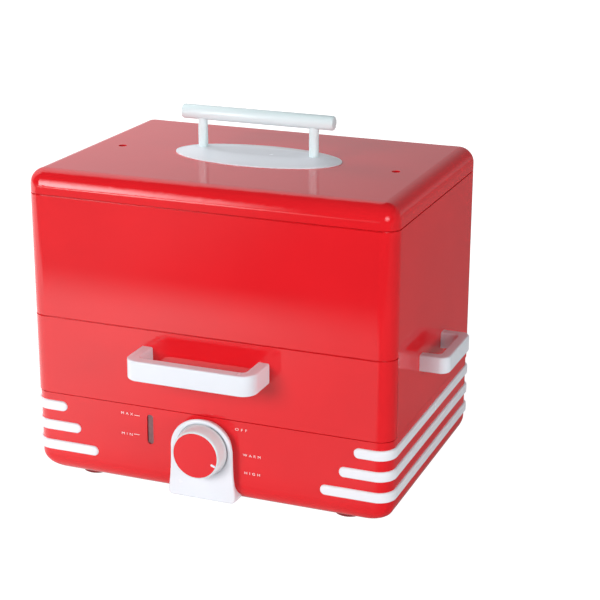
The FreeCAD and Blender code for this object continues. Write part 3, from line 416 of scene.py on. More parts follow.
def skin(name: str, loops: Sequence[Sequence[Vector]], ring: bool = False) -> Mesh:
    """Skin a closed shape over loops of points.

    Args:
        name: Name of the mesh.
        loops: Loops of equal length, in millimetres; a loop of one point is a pole.
        ring: Whether the last loop joins the first.

    Returns:
        The mesh, in metres, faces outward.
    """
    starts = [0, *accumulate(len(loop) for loop in loops)]
    faces = []
    for one in range(len(loops) - (0 if ring else 1)):
        two = (one + 1) % len(loops)
        count = max(len(loops[one]), len(loops[two]))
        for step in range(count):
            after = (step + 1) % count
            corners = ((one, step), (one, after), (two, after), (two, step))
            face = [starts[loop] + index % len(loops[loop]) for loop, index in corners]
            faces.append(tuple(dict.fromkeys(face)))
    mesh = mesh_of(name, [point * MM for loop in loops for point in loop], faces)
    work = bmesh.new()
    work.from_mesh(mesh)
    bmesh.ops.recalc_face_normals(work, faces=work.faces)
    work.to_mesh(mesh)
    work.free()
    return mesh


def lofted(name: str, loops: Sequence[Sequence[Vector]], material: Material, ring: bool = False) -> Object:
    """Skin a piece over loops of points, as skin does, smooth but for its real edges."""
    mesh = skin(name, loops, ring)
    mesh.shade_smooth()
    mesh.set_sharp_from_angle(angle=math.radians(35))
    mesh.materials.append(material)
    return object_of(name, mesh)


def oval(radius_x: float, radius_y: float, level: float, around: int = 96) -> list[Vector]:
    """Points of an oval about Z at a level, or its middle if it has no width."""
    angles = [2 * math.pi * step / around for step in range(around if radius_x > 0 else 1)]
    return [Vector((radius_x * math.cos(a), radius_y * math.sin(a), level)) for a in angles]


def oblong(reach_x: float, reach_y: float, radius: float, around: int) -> list[Vector]:
    """Points of a flat rounded oblong, whose corners are centred at the reaches from its middle."""
    angles = [2 * math.pi * (step + 0.5) / around for step in range(around)]
    arms = [Vector((math.cos(angle), math.sin(angle))) for angle in angles]
    return [arm * radius + Vector((math.copysign(reach_x, arm.x), math.copysign(reach_y, arm.y))) for arm in arms]


def standing(points: Iterable[Vector], y: float) -> list[Vector]:
    """Points of a drawing, x and z, stood upright at a y."""
    return [Vector((point.x, y, point.y)) for point in points]


def turned(name: str, profile: Sequence[Pair], place: Matrix, material: Material) -> Object:
    """Turn a profile round an axis.

    Args:
        name: Name of the piece.
        profile: Radius and level of each point. It runs from the axis back to the axis, or is a
            closed loop clear of it.
        place: Matrix that takes the axis from Z to its place.
        material: Finish of the piece.

    Returns:
        The piece.
    """
    loops = [[place @ point for point in oval(radius, radius, level)] for radius, level in profile]
    return lofted(name, loops, material, ring=profile[0][0] > 0)


def settled(carrier: Object) -> Mesh:
    """Work out an object's text or modifier, take the object away and return the plain mesh."""
    mesh = bpy.data.meshes.new_from_object(carrier.evaluated_get(bpy.context.evaluated_depsgraph_get()))
    carrier.modifiers.clear()
    bpy.data.objects.remove(carrier)
    return mesh


def grown(name: str, seed: Mesh, tree: NodeTree, inputs: Values) -> Object:
    """Run a geometry tree on a seed mesh and keep the result as a plain mesh.

    Args:
        name: Name of the piece.
        seed: Mesh that goes into the tree.
        tree: Geometry tree.
        inputs: Values of the tree's named inputs.

    Returns:
        The finished piece, with no modifier left on it.
    """
    carrier = object_of(f"{name}_seed", seed)
    modifier = carrier.modifiers.new("tree", "NODES")
    modifier.node_group = tree
    for item in tree.interface.items_tree:
        if item.item_type == "SOCKET" and item.in_out == "INPUT" and item.name in inputs:
            modifier[item.identifier] = inputs[item.name]
    mesh = settled(carrier)
    mesh.name = name
    return object_of(name, mesh)


class GrowthTree(Graph):
    """A geometry tree with named inputs, which ends in Realize Instances and Set Material."""

    def __init__(self, name: str, inputs: Mapping[str, str]) -> None:
        """Open the tree.

        Args:
            name: Name of the tree.
            inputs: Kind of each named input between the geometry and the material.
        """
        super().__init__(bpy.data.node_groups.new(name, "GeometryNodeTree"))
        face = self.tree.interface
        for label, kind in {"Geometry": "Geometry", **inputs, "Material": "Material"}.items():
            face.new_socket(label, in_out="INPUT", socket_type=f"NodeSocket{kind}")
        face.new_socket("Geometry", in_out="OUTPUT", socket_type="NodeSocketGeometry")
        self.inputs = add(self.tree, "NodeGroupInput").outputs

    def end(self, geometry: NodeSocket) -> NodeTree:
        """Give what was grown its material, close the tree and return it."""
        realised = self.put("GeometryNodeRealizeInstances", "Geometry", {"Geometry": geometry})
        values = {"Geometry": realised, "Material": self.inputs["Material"]}
        dressed = self.put("GeometryNodeSetMaterial", "Geometry", values)
        add(self.tree, "NodeGroupOutput", {"Geometry": dressed})
        return self.tree


def bead_tree() -> NodeTree:
    """Tree that sweeps a raised bead with round ends along each path.

    The path lies in the wall's surface. The bead's section is a rounded oblong whose back is cut
    flat just inside the wall, and it narrows to nothing over the last half height at each end.

    Returns:
        The tree, with inputs Height, Proud, Edge Round, Sink and Material.
    """
    least_width, weld, edge_points, section_points = 0.004, 2e-6, 7, 56
    tree = GrowthTree("raised_bead", dict.fromkeys(("Height", "Proud", "Edge Round", "Sink"), "Float"))
    given, put, sum_of = tree.inputs, tree.put, tree.sum
    path = put("GeometryNodeMeshToCurve", "Curve", {"Mesh": given["Geometry"]})
    along = put("GeometryNodeSplineParameter", "Length")
    total = put("GeometryNodeSplineLength", "Length")
    to_end = sum_of("MINIMUM", along, sum_of("SUBTRACT", total, along))
    half = sum_of("MULTIPLY", given["Height"], 0.5)
    short = sum_of("SUBTRACT", 1.0, sum_of("DIVIDE", to_end, half), clamp=True)
    width = sum_of("SQRT", sum_of("SUBTRACT", 1.0, sum_of("MULTIPLY", short, short)))
    scale = sum_of("MAXIMUM", width, least_width)
    upright = put("GeometryNodeSetCurveNormal", "Curve", {"Curve": path}, mode="Z_UP")
    values = {"Width": sum_of("MULTIPLY", given["Proud"], 2.0), "Height": given["Height"]}
    box = put("GeometryNodeCurvePrimitiveQuadrilateral", "Curve", values, mode="RECTANGLE")
    values = {"Curve": box, "Radius": given["Edge Round"], "Count": edge_points, "Limit Radius": True}
    rounded = put("GeometryNodeFilletCurve", "Curve", values, mode="POLY")
    even = put("GeometryNodeResampleCurve", "Curve", {"Curve": rounded, "Count": section_points})
    parts = tree.parts(put("GeometryNodeInputPosition", "Position"))
    back = sum_of("MULTIPLY", given["Sink"], -1.0)
    values = {"X": sum_of("MAXIMUM", parts["X"], back), "Y": parts["Y"], "Z": parts["Z"]}
    flat = put("ShaderNodeCombineXYZ", "Vector", values)
    section = put("GeometryNodeSetPosition", "Geometry", {"Geometry": even, "Position": flat})
    values = {"Curve": upright, "Profile Curve": section, "Scale": scale, "Fill Caps": True}
    swept = put("GeometryNodeCurveToMesh", "Mesh", values)
    merged = put("GeometryNodeMergeByDistance", "Geometry", {"Geometry": swept, "Distance": weld})
    return tree.end(put("GeometryNodeSetShadeSmooth", "Geometry", {"Geometry": merged}))


def scatter_tree() -> NodeTree:
    """Tree that puts one unit on every point, turned so that its Z follows the point's axis.

    Returns:
        The tree, with inputs Unit and Material.
    """
    tree = GrowthTree("units_on_points", {"Unit": "Object"})
    unit = tree.put("GeometryNodeObjectInfo", "Geometry", {"Object": tree.inputs["Unit"]})
    values = {"Name": "axis"}
    axis = tree.put("GeometryNodeInputNamedAttribute", "Attribute", values, data_type="FLOAT_VECTOR")
    turn = tree.put("FunctionNodeAlignRotationToVector", "Rotation", {"Vector": axis}, axis="Z")
    points = tree.put("GeometryNodeMeshToPoints", "Points", {"Mesh": tree.inputs["Geometry"]})
    values = {"Points": points, "Instance": unit, "Rotation": turn}
    return tree.end(tree.put("GeometryNodeInstanceOnPoints", "Instances", values))


def scattered(name: str, places: Sequence[tuple[Vector, Vector]], unit: Mesh, material: Material) -> Object:
    """Repeat a unit at each place.

    Args:
        name: Name of the piece.
        places: Point, in metres, and axis of each copy.
        unit: Mesh whose Z is the axis.
        material: Finish of the piece.

    Returns:
        The piece, one plain mesh.
    """
    seed = mesh_of(f"{name}_points", [point for point, _ in places], [])
    axes = seed.attributes.new("axis", "FLOAT_VECTOR", "POINT")
    axes.data.foreach_set("vector", [part for _, axis in places for part in axis])
    single = object_of(f"{name}_unit", unit)
    piece = grown(name, seed, scatter_tree(), {"Unit": single, "Material": material})
    bpy.data.objects.remove(single)
    return piece


@dataclass(frozen=True)
class CrossScrew:
    """A cross-recessed, thread-forming screw. The cross and the crown are in shares of the head."""

    shank_radius: float
    shank_length: float
    head_radius: float
    head_height: float
    pitch: float = 1.2
    crown: float = 0.7
    cross_half_width: float = 0.13
    cross_reach: float = 0.55
    cross_depth: float = 0.62
    cross_slope: float = 2.4
    around: int = 40
    crown_steps: int = 16

    def recess(self, x: float, y: float) -> float:
        """Depth of the cross at a point of the head."""
        half_width, reach = self.cross_half_width * self.head_radius, self.cross_reach * self.head_radius
        inside = max(min(half_width - abs(y), reach - abs(x)), min(half_width - abs(x), reach - abs(y)))
        return min(max(inside * self.cross_slope, 0.0), self.cross_depth * self.head_height)

    def rings(self) -> list[Pair]:
        """Radius and height of each ring, from the head's middle down to the shank's tip."""
        edge, neck, root, crest, taper = 0.12, 0.82, 0.8, 0.98, 0.7
        thread_start, tip_length, tip_radius = 0.6, 0.5, 0.25
        step_out = self.crown * self.head_radius / self.crown_steps
        top = [(step_out * step, self.head_height) for step in range(self.crown_steps + 1)]
        shoulder = [(self.head_radius - edge, self.head_height * edge), (self.head_radius, 0.0)]
        thread = [(self.shank_radius * neck, 0.0)]
        half_turn = 0.4 * self.pitch
        level = thread_start
        while level < self.shank_length - self.pitch:
            thread += [(self.shank_radius * root, -level), (self.shank_radius * crest, -level - half_turn)]
            level += 2 * half_turn
        end = -self.shank_length
        tip = [(self.shank_radius * taper, end + tip_length), (tip_radius, end), (0.0, end)]
        return top + shoulder + thread + tip

    def mesh(self, name: str) -> Mesh:
        """Build the screw, a closed mesh with its seat at the origin and its head towards +Z."""
        loops = [oval(radius, radius, level, self.around) for radius, level in self.rings()]
        for loop in loops[:self.crown_steps + 1]:
            for point in loop:
                point.z -= self.recess(point.x, point.y)
        return skin(name, loops)


@dataclass
class Assembly:
    """Pieces that ride on one body of the frame."""

    body: str
    palette: Palette

    def dress(self, material: Material, *nodes: str) -> None:
        """Give CAD nodes their finish."""
        for node in nodes:
            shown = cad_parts[node]
            if not shown.material_slots:
                shown.data.materials.append(None)
            for slot in shown.material_slots:
                slot.material = material
            LOG.info("%s: %s dressed in %s", self.body, node, material.name)

    def mount(self, piece: Object, slot: Slot, *replaced: str) -> None:
        """Fix a piece to the body.

        Args:
            piece: Finished piece, its place in its mesh.
            slot: Slot of the record that its finish belongs to; not used.
            *replaced: CAD nodes that it stands for.
        """
        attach(piece, self.body)
        if replaced:
            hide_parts(*replaced)
        LOG.info("%s: %s built, %d faces", self.body, piece.name, len(piece.data.polygons))

    def screws(self, node: str, screw: CrossScrew, seats: Iterable[tuple[Triple, Triple]]) -> None:
        """Replace a node of screws.

        Args:
            node: CAD node of the screws.
            screw: Screw to repeat.
            seats: Seat of each head, and the way that the head faces.
        """
        places = [(Vector(seat) * MM, Vector(axis)) for seat, axis in seats]
        piece = scattered(f"{node}_cross", places, screw.mesh(f"{node}_unit"), self.palette.zinc)
        self.mount(piece, Slot.ZINC_STEEL, node)

    def build(self) -> None:
        """Make and dress everything on this body."""
        raise NotImplementedError


@dataclass(frozen=True)
class Word:
    """A printed mark, by the box that it fills on the front of the base."""

    text: str
    x_low: float
    x_high: float
    middle_z: float
    height: float = 2.1
    thickness: float = 0.06

    def mesh(self, front_y: float) -> Mesh:
        """Form the letters and stand them on the panel.

        Args:
            front_y: Y of the panel.

        Returns:
            A closed mesh of the word, in metres.
        """
        curve = bpy.data.curves.new(self.text, "FONT")
        curve.body = self.text
        curve.extrude = 0.5
        curve.resolution_u = 6
        curve.space_character = 1.8
        mesh = settled(object_of(f"{self.text}_seed", curve))
        spans = [(min(axis), max(axis)) for axis in zip(*(vertex.co for vertex in mesh.vertices))]
        for vertex in mesh.vertices:
            x, y, z = ((part - low) / (high - low) for part, (low, high) in zip(vertex.co, spans))
            across = self.x_low + x * (self.x_high - self.x_low)
            up = self.middle_z + (y - 0.5) * self.height
            vertex.co = Vector((across, front_y - z * self.thickness, up)) * MM
        return mesh


def joined(name: str, meshes: Iterable[Mesh], material: Material) -> Object:
    """Put several meshes into one piece with one finish, and return it."""
    points: list[Vector] = []
    faces: list[tuple[int, ...]] = []
    for mesh in meshes:
        start = len(points)
        points += [vertex.co.copy() for vertex in mesh.vertices]
        faces += [tuple(start + index for index in face.vertices) for face in mesh.polygons]
    mesh = mesh_of(name, points, faces)
    mesh.materials.append(material)
    return object_of(name, mesh)


def middle(node: str) -> Vector:
    """Middle of a CAD node's box."""
    low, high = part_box(node)
    return (low + high) / (2 * MM)


def run(first: Vector, last: Vector, steps: int) -> list[Vector]:
    """Points of a straight line, without its end."""
    return [first.lerp(last, step / steps) for step in range(steps)]


def bend(first: Vector, tip: Vector, last: Vector, steps: int) -> list[Vector]:
    """Points of a rounded corner, without its end."""
    shares = [step / steps for step in range(steps)]
    return [first.lerp(tip, share).lerp(tip.lerp(last, share), share) for share in shares]


@dataclass(frozen=True)
class Arch:
    """Outline of an arched plate: round above, with sides that splay below a height to a flat bottom."""

    centre: Pair
    half_width: float
    rise: float
    left_x: float
    right_x: float
    flare_z: float = 26.0
    bottom_z: float = 5.0
    corner: float = 5.0

    def outline(self) -> list[Vector]:
        """Points round the outline, counter-clockwise from the right shoulder, as x and z."""
        arch_steps, side_steps, corner_steps = 72, 16, 10
        x, z = self.centre
        turn = [math.pi * step / arch_steps for step in range(arch_steps)]
        arch = [Vector((x + self.half_width * math.cos(a), z + self.rise * math.sin(a))) for a in turn]
        left, right = Vector((x - self.half_width, z)), Vector((x + self.half_width, z))
        left_tip, right_tip = Vector((self.left_x, self.bottom_z)), Vector((self.right_x, self.bottom_z))
        left_side, right_side = (
            tip + (shoulder - tip).normalized() * self.corner
            for tip, shoulder in ((left_tip, left), (right_tip, right))
        )
        left_low, right_low = left_tip + Vector((self.corner, 0)), right_tip - Vector((self.corner, 0))
        return [
            *arch,
            *bend(left, Vector((left.x, self.flare_z)), left_side, side_steps),
            *bend(left_side, left_tip, left_low, corner_steps),
            *run(left_low, right_low, side_steps),
            *bend(right_low, right_tip, right_side, corner_steps),
            *bend(right_side, Vector((right.x, self.flare_z)), right, side_steps),
        ]

    def inset(self, distance: float) -> list[Vector]:
        """The outline, moved in by a distance."""
        points = self.outline()
        moved = []
        for index, point in enumerate(points):
            along = (points[(index + 1) % len(points)] - points[index - 1]).normalized()
            moved.append(point + Vector((-along.y, along.x)) * distance)
        return moved


@dataclass
class Base(Assembly):
    """Water base: tub, feet, heater, window, knob surround and trim."""

    panel_y: float = -91.45
    roll_radius: float = 16.0
    roll_top_z: float = 19.4
    bore_radius: float = 5.15
    surround_proud: float = 8.0
    surround_edge: float = 1.6
    surround_sink: float = 0.05
    surround_front: Arch = Arch((-1.0, 47.1), 26.5, 25.4, -30.4, 27.8)
    surround_back: Arch = Arch((-0.5, 47.2), 22.8, 22.8, -28.5, 28.3, 13.0)
    groove: tuple[Pair, ...] = ((17.0, 0.0), (17.1, 1.3), (21.9, 1.3), (21.95, 0.0))
    foot_profile: tuple[Pair, ...] = (
        (1.7, 2.2), (4.2, 2.2), (4.2, 0.3), (4.6, 0.0), (11.2, 0.0), (11.9, 0.4), (12.2, 1.0), (12.5, 3.4),
        (1.7, 3.4),
    )
    slot_radius: float = 2.7
    slot_half_length: float = 9.9
    lip_section: tuple[Pair, ...] = (
        (0.0, -1.0), (0.0, 0.02), (0.1, 0.1), (0.95, 0.1), (1.1, -0.02), (0.08, -0.02), (0.08, -1.0),
    )
    strip_height: float = 8.4
    strip_proud: float = 1.8
    strip_edge: float = 1.6
    strip_sink: float = 0.3
    strip_places: tuple[Pair, ...] = ((62.2, 29.7), (44.9, 41.5), (27.6, 56.7))
    strip_back_reach: float = 24.5
    body_half_width: float = 152.5
    corner_radius: float = 12.3
    words: tuple[Word, ...] = (
        Word("MAX", -74.1, -63.6, 64.8),
        Word("—", -62.4, -57.7, 64.3, 0.45),
        Word("MIN", -74.1, -64.6, 47.3),
        Word("—", -63.3, -58.3, 48.0, 0.45),
        Word("OFF", 24.9, 35.0, 66.0),
        Word("WARM", 31.3, 46.2, 45.3),
        Word("HIGH", 32.7, 45.6, 30.3),
    )

    def build(self) -> None:
        """Make and dress everything on the base."""
        mix = self.palette
        self.dress(mix.red, "base_shell")
        self.dress(mix.rubber, "window_gasket", "cord_gland")
        self.dress(mix.clear, "water_window")
        self.dress(mix.sheet, "reservoir")
        self.dress(mix.cast, "heater_plate")
        self.dress(mix.zinc, "bottom_plate", "heater_clamp", "thermostat_nut", "thermal_fuse")
        self.dress(mix.sheath, "heating_element")
        self.dress(mix.phenolic, "terminal_block", "thermostat")
        self.mount(self.surround(), Slot.WHITE_PLASTIC, "knob_bezel")
        self.mount(self.window_lip(), Slot.RED_SHELL)
        for node in ("foot_front_left", "foot_front_right", "foot_rear_left", "foot_rear_right"):
            self.mount(self.foot(node), Slot.RUBBER, node)
        for side in Side:
            self.mount(self.strips(side), Slot.WHITE_PLASTIC, f"trim_strips_{side.name.lower()}")
        low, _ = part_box("base_shell")
        marks = joined("setting_marks", [word.mesh(low.y / MM) for word in self.words], mix.print_ink)
        self.mount(marks, Slot.WHITE_PLASTIC)
        screw = CrossScrew(1.5, 8.0, 3.0, 1.8)
        for node, columns, rows, level in (
            ("bottom_plate_screws", (-75, 0, 75), (-45.15, 76.85), 3.4),
            ("foot_screws", (-111, 111), (-65.15, 96.85), 2.2),
            ("heater_clamp_screw", (0,), (31.05,), 23),
        ):
            self.screws(node, screw, [((x, y, level), (0, 0, -1)) for x in columns for y in rows])

    def panel_at(self, z: float) -> float:
        """Y of the front panel at a height, with its rolled lower edge."""
        drop = max(self.roll_top_z - z, 0.0)
        return self.panel_y + self.roll_radius - math.sqrt(self.roll_radius**2 - drop**2)

    def surround(self) -> Object:
        """Arched plate behind the knob, with a groove under the knob's rim. Its wall tapers in towards
        the panel, which it follows."""
        edge_steps, back_steps = 6, 8
        front_y = self.panel_y - self.surround_proud
        axis = Vector((0, KNOB_AXIS_Z))
        spokes = [(point - axis).normalized() for point in self.surround_front.outline()]
        loops = []
        for radius, depth in ((self.bore_radius, 0.0), *self.groove):
            loops.append(standing([axis + spoke * radius for spoke in spokes], front_y + depth))
        for step in range(edge_steps + 1):
            angle = math.radians(90 * step / edge_steps)
            rim = self.surround_front.inset(self.surround_edge * (1 - math.sin(angle)))
            loops.append(standing(rim, front_y + self.surround_edge * (1 - math.cos(angle))))
        bore = [axis + spoke * self.bore_radius for spoke in spokes]
        for step in range(back_steps + 1):
            line = [one.lerp(two, step / back_steps) for one, two in zip(self.surround_back.outline(), bore)]
            loops.append([Vector((p.x, self.panel_at(p.y) + self.surround_sink, p.y)) for p in line])
        return lofted("knob_surround", loops, self.palette.white, ring=True)

    def foot(self, node: str) -> Object:
        """Round foot with a recess for its screw, in place of a CAD foot."""
        place = Matrix.Translation((*middle(node).xy, 0))
        return turned(f"{node}_moulded", self.foot_profile, place, self.palette.foot_rubber_painted_shade)

    def window_lip(self) -> Object:
        """Low round-ended lip that lines the sight window's slot."""
        centre = middle("water_window").xz
        loops = []
        for out, proud in self.lip_section:
            line = oblong(0.0, self.slot_half_length, self.slot_radius + out, 64)
            loops.append(standing([centre + point for point in line], self.panel_y - proud))
        return lofted("window_lip", loops, self.palette.red, ring=True)

    def wall_path(self, side: Side, front_reach: float, level: float) -> list[Vector]:
        """Line of one strip along the wall, close-set where it bends or ends.

        Args:
            side: Side of the body.
            front_reach: How far in from the body's side it starts in front.
            level: Height of its middle.

        Returns:
            Points from the front end to the back end, in metres.
        """
        low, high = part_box("base_shell")
        half, front, back = high.x / MM, low.y / MM, high.y / MM
        radius, steps = self.corner_radius, 14
        quarter = [math.radians(90 * step / steps) for step in range(steps + 1)]
        end = [self.strip_height / 2 * (1 - math.cos(angle)) for angle in quarter]
        points = [(self.body_half_width - front_reach + step, front) for step in end]
        for centre_y, first in ((front + radius, -math.pi / 2), (back - radius, 0.0)):
            for angle in quarter:
                x, y = math.cos(first + angle), math.sin(first + angle)
                points.append((half - radius + radius * x, centre_y + radius * y))
        points += [(self.body_half_width - self.strip_back_reach + step, back) for step in reversed(end)]
        return [Vector((side.value * x, y, level)) * MM for x, y in points]

    def strips(self, side: Side) -> Object:
        """Three trim strips of one side, swept along the wall, as one piece."""
        points: list[Vector] = []
        edges: list[tuple[int, int]] = []
        for level, reach in self.strip_places:
            line = self.wall_path(side, reach, level)
            if side is Side.LEFT:
                line.reverse()
            first = len(points)
            points += line
            edges += [(first + step, first + step + 1) for step in range(len(line) - 1)]
        name = f"trim_strips_{side.name.lower()}_swept"
        inputs = {
            "Height": self.strip_height * MM,
            "Proud": self.strip_proud * MM,
            "Edge Round": self.strip_edge * MM,
            "Sink": self.strip_sink * MM,
            "Material": self.palette.trim_white_painted_bright,
        }
        return grown(name, mesh_of(f"{name}_paths", points, [], edges), bead_tree(), inputs)


@dataclass
class Knob(Assembly):
    """Control knob, on its shaft. Levels run to the front from the knob's back."""

    back_y: float = -100.35
    skirt: tuple[Pair, ...] = (
        (0.0, 9.0), (3.05, 9.0), (3.05, 4.6), (6.0, 4.6), (6.0, 9.4), (17.4, 9.4), (19.5, 0.0), (21.2, 0.0),
        (21.5, 0.15), (21.6, 0.45), (19.95, 9.6), (19.82, 10.4), (19.55, 11.2), (19.15, 11.8), (18.8, 12.1),
        (18.6, 12.2), (18.45, 12.1), (18.45, 11.0), (0.0, 11.0),
    )
    disc: tuple[Pair, ...] = ((0.0, 11.05), (18.4, 11.05), (18.4, 12.1), (18.2, 12.3), (0.0, 12.3))
    pointer_degrees: float = -21.6
    pointer_reach: Pair = (14.4, 18.3)
    pointer_half_width: float = 0.95
    pointer_corner: float = 0.45
    pointer_levels: tuple[Pair, ...] = ((12.2, 0.0), (12.38, 0.0), (12.45, 0.08))

    def build(self) -> None:
        """Make and dress the knob."""
        mix = self.palette
        place = Matrix.Translation((0, self.back_y, KNOB_AXIS_Z)) @ Matrix.Rotation(math.pi / 2, 4, "X")
        self.mount(turned("knob_skirt", self.skirt, place, mix.grip_white_painted_cool), Slot.WHITE_PLASTIC, "knob_body")
        self.mount(turned("knob_disc", self.disc, place, mix.knob_red), Slot.RED_SHELL, "knob_face")
        self.mount(self.pointer(place), Slot.WHITE_PLASTIC, "knob_pointer")
        self.dress(mix.zinc, "knob_shaft")

    def pointer(self, place: Matrix) -> Object:
        """Low round-cornered bar at the disc's edge."""
        inner, outer = self.pointer_reach
        corner = self.pointer_corner
        turn = Matrix.Rotation(math.radians(self.pointer_degrees), 4, "Z")
        spot = place @ turn @ Matrix.Translation(((inner + outer) / 2, 0, 0))
        loops = []
        for level, inset in self.pointer_levels:
            line = oblong((outer - inner) / 2 - corner, self.pointer_half_width - corner, corner - inset, 32)
            loops.append([spot @ Vector((*point, level)) for point in line])
        poles = [[spot @ Vector((0, 0, level))] for level, _ in (self.pointer_levels[0], self.pointer_levels[-1])]
        return lofted("knob_pointer_bar", [poles[0], *loops, poles[1]], self.palette.white)


@dataclass
class Housing(Assembly):
    """Wall shell that stands on the base, with its side grips and runners."""

    def build(self) -> None:
        """Dress the housing and put in its screws."""
        mix = self.palette
        self.dress(mix.red, "housing_shell")
        self.dress(mix.white, "side_handle_left", "side_handle_right")
        self.dress(mix.acetal, "drawer_runner_left", "drawer_runner_right")
        for node, screw, reach, rows, level in (
            ("side_handle_screws", CrossScrew(2.0, 13.0, 4.0, 2.2), 150.1, (-20.75, 36.45), 115.2),
            ("runner_screws", CrossScrew(1.5, 3.4, 3.0, 1.8), 148.5, (-57.65, 90.85), 124.1),
        ):
            seats = [((reach * side.value, y, level), (-side.value, 0, 0)) for side in Side for y in rows]
            self.screws(node, screw, seats)


@dataclass
class Drawer(Assembly):
    """Front panel, grip and steam tray that slide out."""

    screw_seat: Triple = (49.15, -89.75, 116.2)

    def build(self) -> None:
        """Dress the drawer and put in its screws."""
        mix = self.palette
        self.dress(mix.red, "drawer_front")
        self.dress(mix.white, "front_handle")
        self.dress(mix.sheet, "drawer_tray", "drawer_floor", "drawer_divider")
        x, y, z = self.screw_seat
        seats = [((x * side.value, y, z), (0, 1, 0)) for side in Side]
        self.screws("front_handle_screws", CrossScrew(2.0, 13.0, 4.0, 2.2), seats)


@dataclass
class Lid(Assembly):
    """Lid with its bar handle."""

    top_z: float = 257.0
    middle_y: float = 15.85
    plate_edge: Pair = (70.7, 35.0)
    plate_crest: Pair = (54.0, 12.0)
    plate_levels: Pair = (0.9, 4.62)
    plate_fillet: float = 0.15
    bar_z: float = 289.4
    bar_length: float = 130.4
    bar_radius: float = 5.8
    bar_end: tuple[Pair, ...] = ((1.4, 0.0), (0.6, 0.25), (0.2, 0.7), (0.0, 1.4))
    screw_x: float = 48.0
    screw_z: float = 254.6

    def build(self) -> None:
        """Make and dress everything on the lid."""
        mix = self.palette
        self.dress(mix.red, "lid_shell")
        self.dress(mix.grip_white_painted_cool, "lid_handle_post_left", "lid_handle_post_right")
        self.mount(self.plate(), Slot.WHITE_PLASTIC, "lid_handle_plate")
        self.mount(self.bar(), Slot.WHITE_PLASTIC, "lid_handle_rod")
        seats = [((self.screw_x * side.value, self.middle_y, self.screw_z), (0, 0, -1)) for side in Side]
        self.screws("lid_handle_screws", CrossScrew(1.5, 14.0, 3.0, 1.8), seats)

    def plate(self) -> Object:
        """Oval plate that rises in one soft slope to a crest under the posts."""
        length, width = self.plate_edge
        low, high = self.plate_levels
        steps, rim_round, bulge, crest_inset = 16, 0.2, 0.25, 2.0
        sizes = [(0, 0, 0), (length, width, 0), (length, width, low - rim_round)]
        for step in range(steps + 1):
            part = step / steps
            half_length = length - self.plate_fillet + (self.plate_crest[0] - length) * part
            half_width = width - self.plate_fillet + (self.plate_crest[1] - width) * part
            rise = part * (1 + bulge - bulge * part**4)
            sizes.append((half_length, half_width, low + (high - low) * rise))
        sizes += [(half_length - crest_inset, half_width - crest_inset, high), (0, 0, high)]
        centre = Vector((0, self.middle_y, self.top_z))
        loops = [[centre + point for point in oval(*size)] for size in sizes]
        return lofted("lid_handle_plate_domed", loops, self.palette.white)

    def bar(self) -> Object:
        """Round bar with softened ends."""
        radius, length = self.bar_radius, self.bar_length
        end = [(0.0, 0.0), *((radius - drop, level) for drop, level in self.bar_end)]
        profile = end + [(ring, length - level) for ring, level in reversed(end)]
        turn = Matrix.Rotation(math.pi / 2, 4, "Y")
        place = Matrix.Translation((-length / 2, self.middle_y, self.bar_z)) @ turn
        return turned("lid_handle_bar", profile, place, self.palette.grip_white_painted_cool)


@dataclass
class Tray(Assembly):
    """A loose tray, or a tray with its divider."""

    nodes: tuple[str, ...] = ()

    def build(self) -> None:
        """Dress the tray."""
        self.dress(self.palette.sheet, *self.nodes)


@dataclass(frozen=True)
class Lamp:
    """A soft box. Its level is the share of full exposure that it gives a surface that faces it."""

    name: str
    place: Triple
    size: Pair
    level: float


@dataclass(frozen=True)
class Glow:
    """A soft box as gloss mirrors it: a patch that fades to its edge. Its centre is a direction in the
    surroundings or a place on the floor."""

    centre: Triple
    spread: Triple
    strength: float


